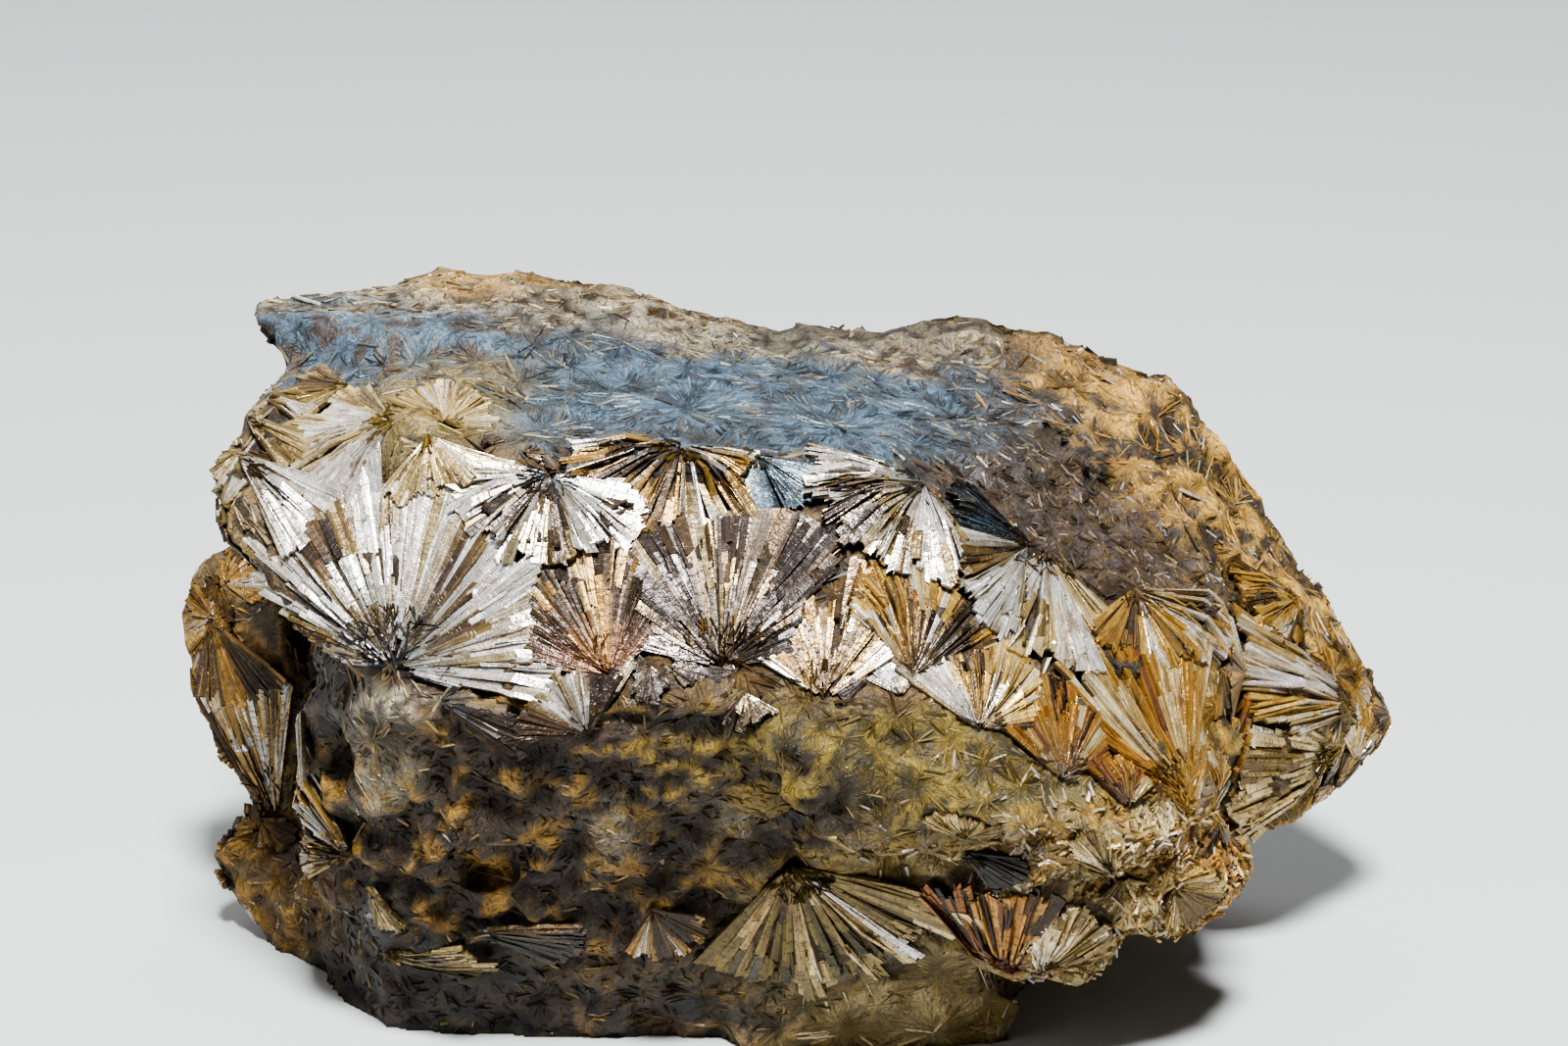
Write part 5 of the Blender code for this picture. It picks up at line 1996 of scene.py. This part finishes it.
@dataclass(frozen=True)
class RockFinish:
    """Matted fibres between the blades, with painted shade in their grooves and painted glints on their
    flecks.

    Attributes:
        warp: How far currents bend the fibres, in millimetres.
        gloss: Least and most roughness.
    """

    grain: float = 2600.0
    warp: float = 0.9
    relief: float = 0.42
    gloss: Pair = (0.14, 0.56)
    lustre: float = 1.5

    def build(self, grime: NodeTree) -> Material:
        """Makes the material."""
        material, nodes, shader = new_material("fibrous_rock")
        ground = nodes.add("Attribute", attribute_name="Ground").outputs["Color"]
        place = nodes.object_place()
        grains = nodes.noise(place, self.grain, 3.0, 0.6)
        bend = nodes.times(nodes.less(nodes.noise(place, 420.0, 3.0, 0.6), 0.5), 4 * self.warp)
        coarse = nodes.streaks(0.40, 2.6, 4.0, 0.65, bend)
        fine = nodes.streaks(1.10, 7.0, 3.0, 0.65, bend)
        height = nodes.plus(nodes.times(coarse, 0.65), fine, 0.35)
        # The fibres' colour follows their relief: partly their own streaks, and partly painted shade in
        # the grooves and painted light on the ridges.
        shade = nodes.plus(0.20, nodes.ramp(height, 0.38, 0.58), 0.95)
        worn = nodes.add("Group", node_tree=grime, Rust=0.5, Dust=0.5)
        nodes.link(nodes.mix("MULTIPLY", 1.0, ground, nodes.grey(shade)), worn.inputs["Color"])
        # Flecks: low roughness gives them real glints, and their colour is brightened by the ground
        # colour again as a painted glint.
        glint_fleck = nodes.times(nodes.ramp(fine, 0.56, 0.66), nodes.ramp(grains, 0.46, 0.62))
        glint_paint = nodes.mix("MULTIPLY", 1.0, ground, (1.0, 0.95, 0.88))
        pale = nodes.mix("ADD", 1.0, worn.outputs["Color"], glint_paint)
        glint_painted = nodes.mix("MIX", nodes.times(glint_fleck, 0.85), worn.outputs["Color"], pale)
        nodes.link(glint_painted, shader["Base Color"])
        least, most = self.gloss
        dull = nodes.plus(nodes.times(nodes.less(1.0, glint_fleck), most - least), least)
        nodes.link(dull, shader["Roughness"])
        nodes.link(nodes.bump(nodes.plus(height, grains, 0.22), self.relief), shader["Normal"])
        shader["IOR"].default_value = self.lustre
        return material


# Studio ---------------------------------------------------


@dataclass(frozen=True)
class Lamp:
    """A square soft light, by its direction, in degrees, and its distance from the lump."""

    name: str
    azimuth: float
    elevation: float
    distance_m: float
    size_m: float
    watts: float
    colour: Colour = WHITE

    def add(self, target: Vector) -> None:
        """Puts the light in the scene, aimed at the target."""
        data = bpy.data.lights.new(self.name, "AREA")
        data.shape = "SQUARE"
        data.size = self.size_m
        data.energy = self.watts
        data.color = self.colour
        turn, tilt = math.radians(self.azimuth), math.radians(self.elevation)
        level = math.cos(tilt)
        away = Vector((math.sin(turn) * level, -math.cos(turn) * level, math.sin(tilt)))
        add_facing(self.name, data, target + away * self.distance_m, away)


@dataclass(frozen=True)
class Studio:
    """A pale floor, a pale room and soft lights."""

    floor_size_m: float = 3.0
    floor: Colour = (0.50, 0.51, 0.52)
    air: Colour = (0.86, 0.87, 0.87)
    room: float = 0.085
    target: Triple = (0.0, 0.0, 0.03)
    lamps: tuple[Lamp, ...] = (
        Lamp("key", 4, 63, 0.75, 0.13, 19.5, (0.98, 1.0, 0.985)),
        Lamp("fill", -55, 35, 1.0, 0.6, 1.4, (1.0, 0.98, 0.95)),
        Lamp("back", 160, 50, 0.9, 0.5, 2.5),
        Lamp("rear", 222, 32, 1.1, 0.7, 3.2),
    )

    def build(self) -> None:
        """Makes the floor, the room's light and the lamps."""
        bpy.ops.object.select_all(action="DESELECT")
        bpy.ops.mesh.primitive_plane_add(size=self.floor_size_m, location=(0, 0, 0))
        floor = bpy.context.object
        floor.name = "floor"
        material, _, shader = new_material("pale_floor")
        shader["Base Color"].default_value = (*self.floor, 1)
        shader["Roughness"].default_value = 0.8
        floor.data.materials.append(material)
        world = bpy.data.worlds.new("room")
        world.use_nodes = True
        background = world.node_tree.nodes["Background"]
        background.inputs["Color"].default_value = (*self.air, 1)
        background.inputs["Strength"].default_value = self.room
        bpy.context.scene.world = world
        for lamp in self.lamps:
            lamp.add(Vector(self.target))
        bpy.context.scene.view_settings.view_transform = "AgX"
        bpy.context.scene.view_settings.look = "AgX - Medium High Contrast"


# The specimen ---------------------------------------------

# Seeds of the pieces and of the small fans, and a blade's breadth for each breadth in the plans.
FIRST_SEED = 100
SMALL_SEED = 17
PLAN_BREADTH = 0.62


@dataclass
class Specimen:
    """The whole dressed lump."""

    solid: Object
    surface: Surface = field(init=False)
    ground: Ground = field(default_factory=Ground)
    fans: Field = field(default_factory=Field)

    def __post_init__(self) -> None:
        """Reads the solid's surface."""
        self.surface = Surface(self.solid)

    def build(self) -> None:
        """Makes the skin and all the blades."""
        self._plan_fans()
        grime, lines = Grime().build(), striation()
        pearly, felted = (finish.build(grime, lines) for finish in (PEARLY, FELTED))
        skin = RockSkin().build(self.solid, self.ground, self.fans, RockFinish().build(grime))
        self._lay_blades(skin, pearly, felted)

    def _plan_fans(self) -> None:
        """Finds all the fans' places, from the large ones to the small, and cuts their seams."""
        for name, plans in {**DISPLAY_FANS, None: FELTED_FANS}.items():
            for plan in plans:
                sheet = display_sheet(self.surface, plan)
                if sheet:
                    self.fans.add(sheet, (name, plan) if name else None)
        for number, sheet in enumerate(SidePlates().sheets(self.surface)):
            self.fans.add(sheet, ("side_blades", SIDE_PLANS[number % len(SIDE_PLANS)]))
        count = SmallFans().grow(self.surface, self.ground, self.fans)
        LOG.info("%d fans, of which %d small", len(self.fans.sheets), count)
        self.fans.cut_seams()

    def _lay_blades(self, skin: Object, pearly: Material, felted: Material) -> None:
        """Lays every fan's blades and the mats between them, and builds their pieces."""
        flat, needle = BladePattern(FLAT_SECTION), BladePattern(NEEDLE_SECTION)
        blades = (*DISPLAY_FANS, "side_blades", "front_small_fans", "rear_small_fans")
        felts = ("dusty_hearts", "front_felt", "front_crust", "rear_felt", "rear_crust")
        pieces = {}
        for index, name in enumerate((*blades, *felts)):
            pattern, farthest = needle if name in felts else flat, 2.2 if name in DISPLAY_FANS else 0.5
            pieces[name] = BladePiece(name, pattern, self.surface, FIRST_SEED + index, farthest)
        rng = np.random.default_rng(SMALL_SEED)
        for sheet, what in zip(self.fans.sheets, self.fans.looks):
            if what is None:
                continue
            if isinstance(what, Zone):
                self._lay_small(sheet, what, rng, pieces)
                continue
            name, plan = what
            habit = plan.habit or (LOOSE, FLUSH, PROUD)[plan.rank - 1]
            breadth = PLAN_BREADTH * plan.breadth
            pieces[name].add_fan(sheet, plan.look, breadth, habit, plan.heart, plan.tone)
            pieces["dusty_hearts"].add_felt(sheet, Look.UMBRY, 0.18, DUSTY, plan.heart, 0.24)
        Mats().lay(skin, self.ground, self.fans, pieces)
        for name, piece in pieces.items():
            piece.build(felted if name in felts else pearly)

    @staticmethod
    def _lay_small(
        sheet: Sheet, zone: Zone, rng: np.random.Generator, pieces: dict[str, BladePiece]
    ) -> None:
        """Lays the blades of one small fan, where its zone has blades."""
        if isinstance(zone.habit, Habit):
            side = "front" if EYE.sees(sheet.focus, sheet.normal) else "rear"
            heart, tone = tuple(0.5 * (a + b) for a, b in zip(*zone.ground)), rng.uniform(-0.5, 0.15)
            pieces[side + "_small_fans"].add_fan(sheet, zone.look, zone.blade, zone.habit, heart, tone)


def main() -> None:
    """Dresses the specimen and sets up the studio."""
    logging.basicConfig(level=logging.INFO, format="%(name)s: %(message)s")
    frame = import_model()
    noise.seed_set(NOISE_SEED)
    Specimen(frame["nodes"][NODE]).build()
    Studio().build()
    EYE.add_camera()


if __name__ == "__main__":
    main()
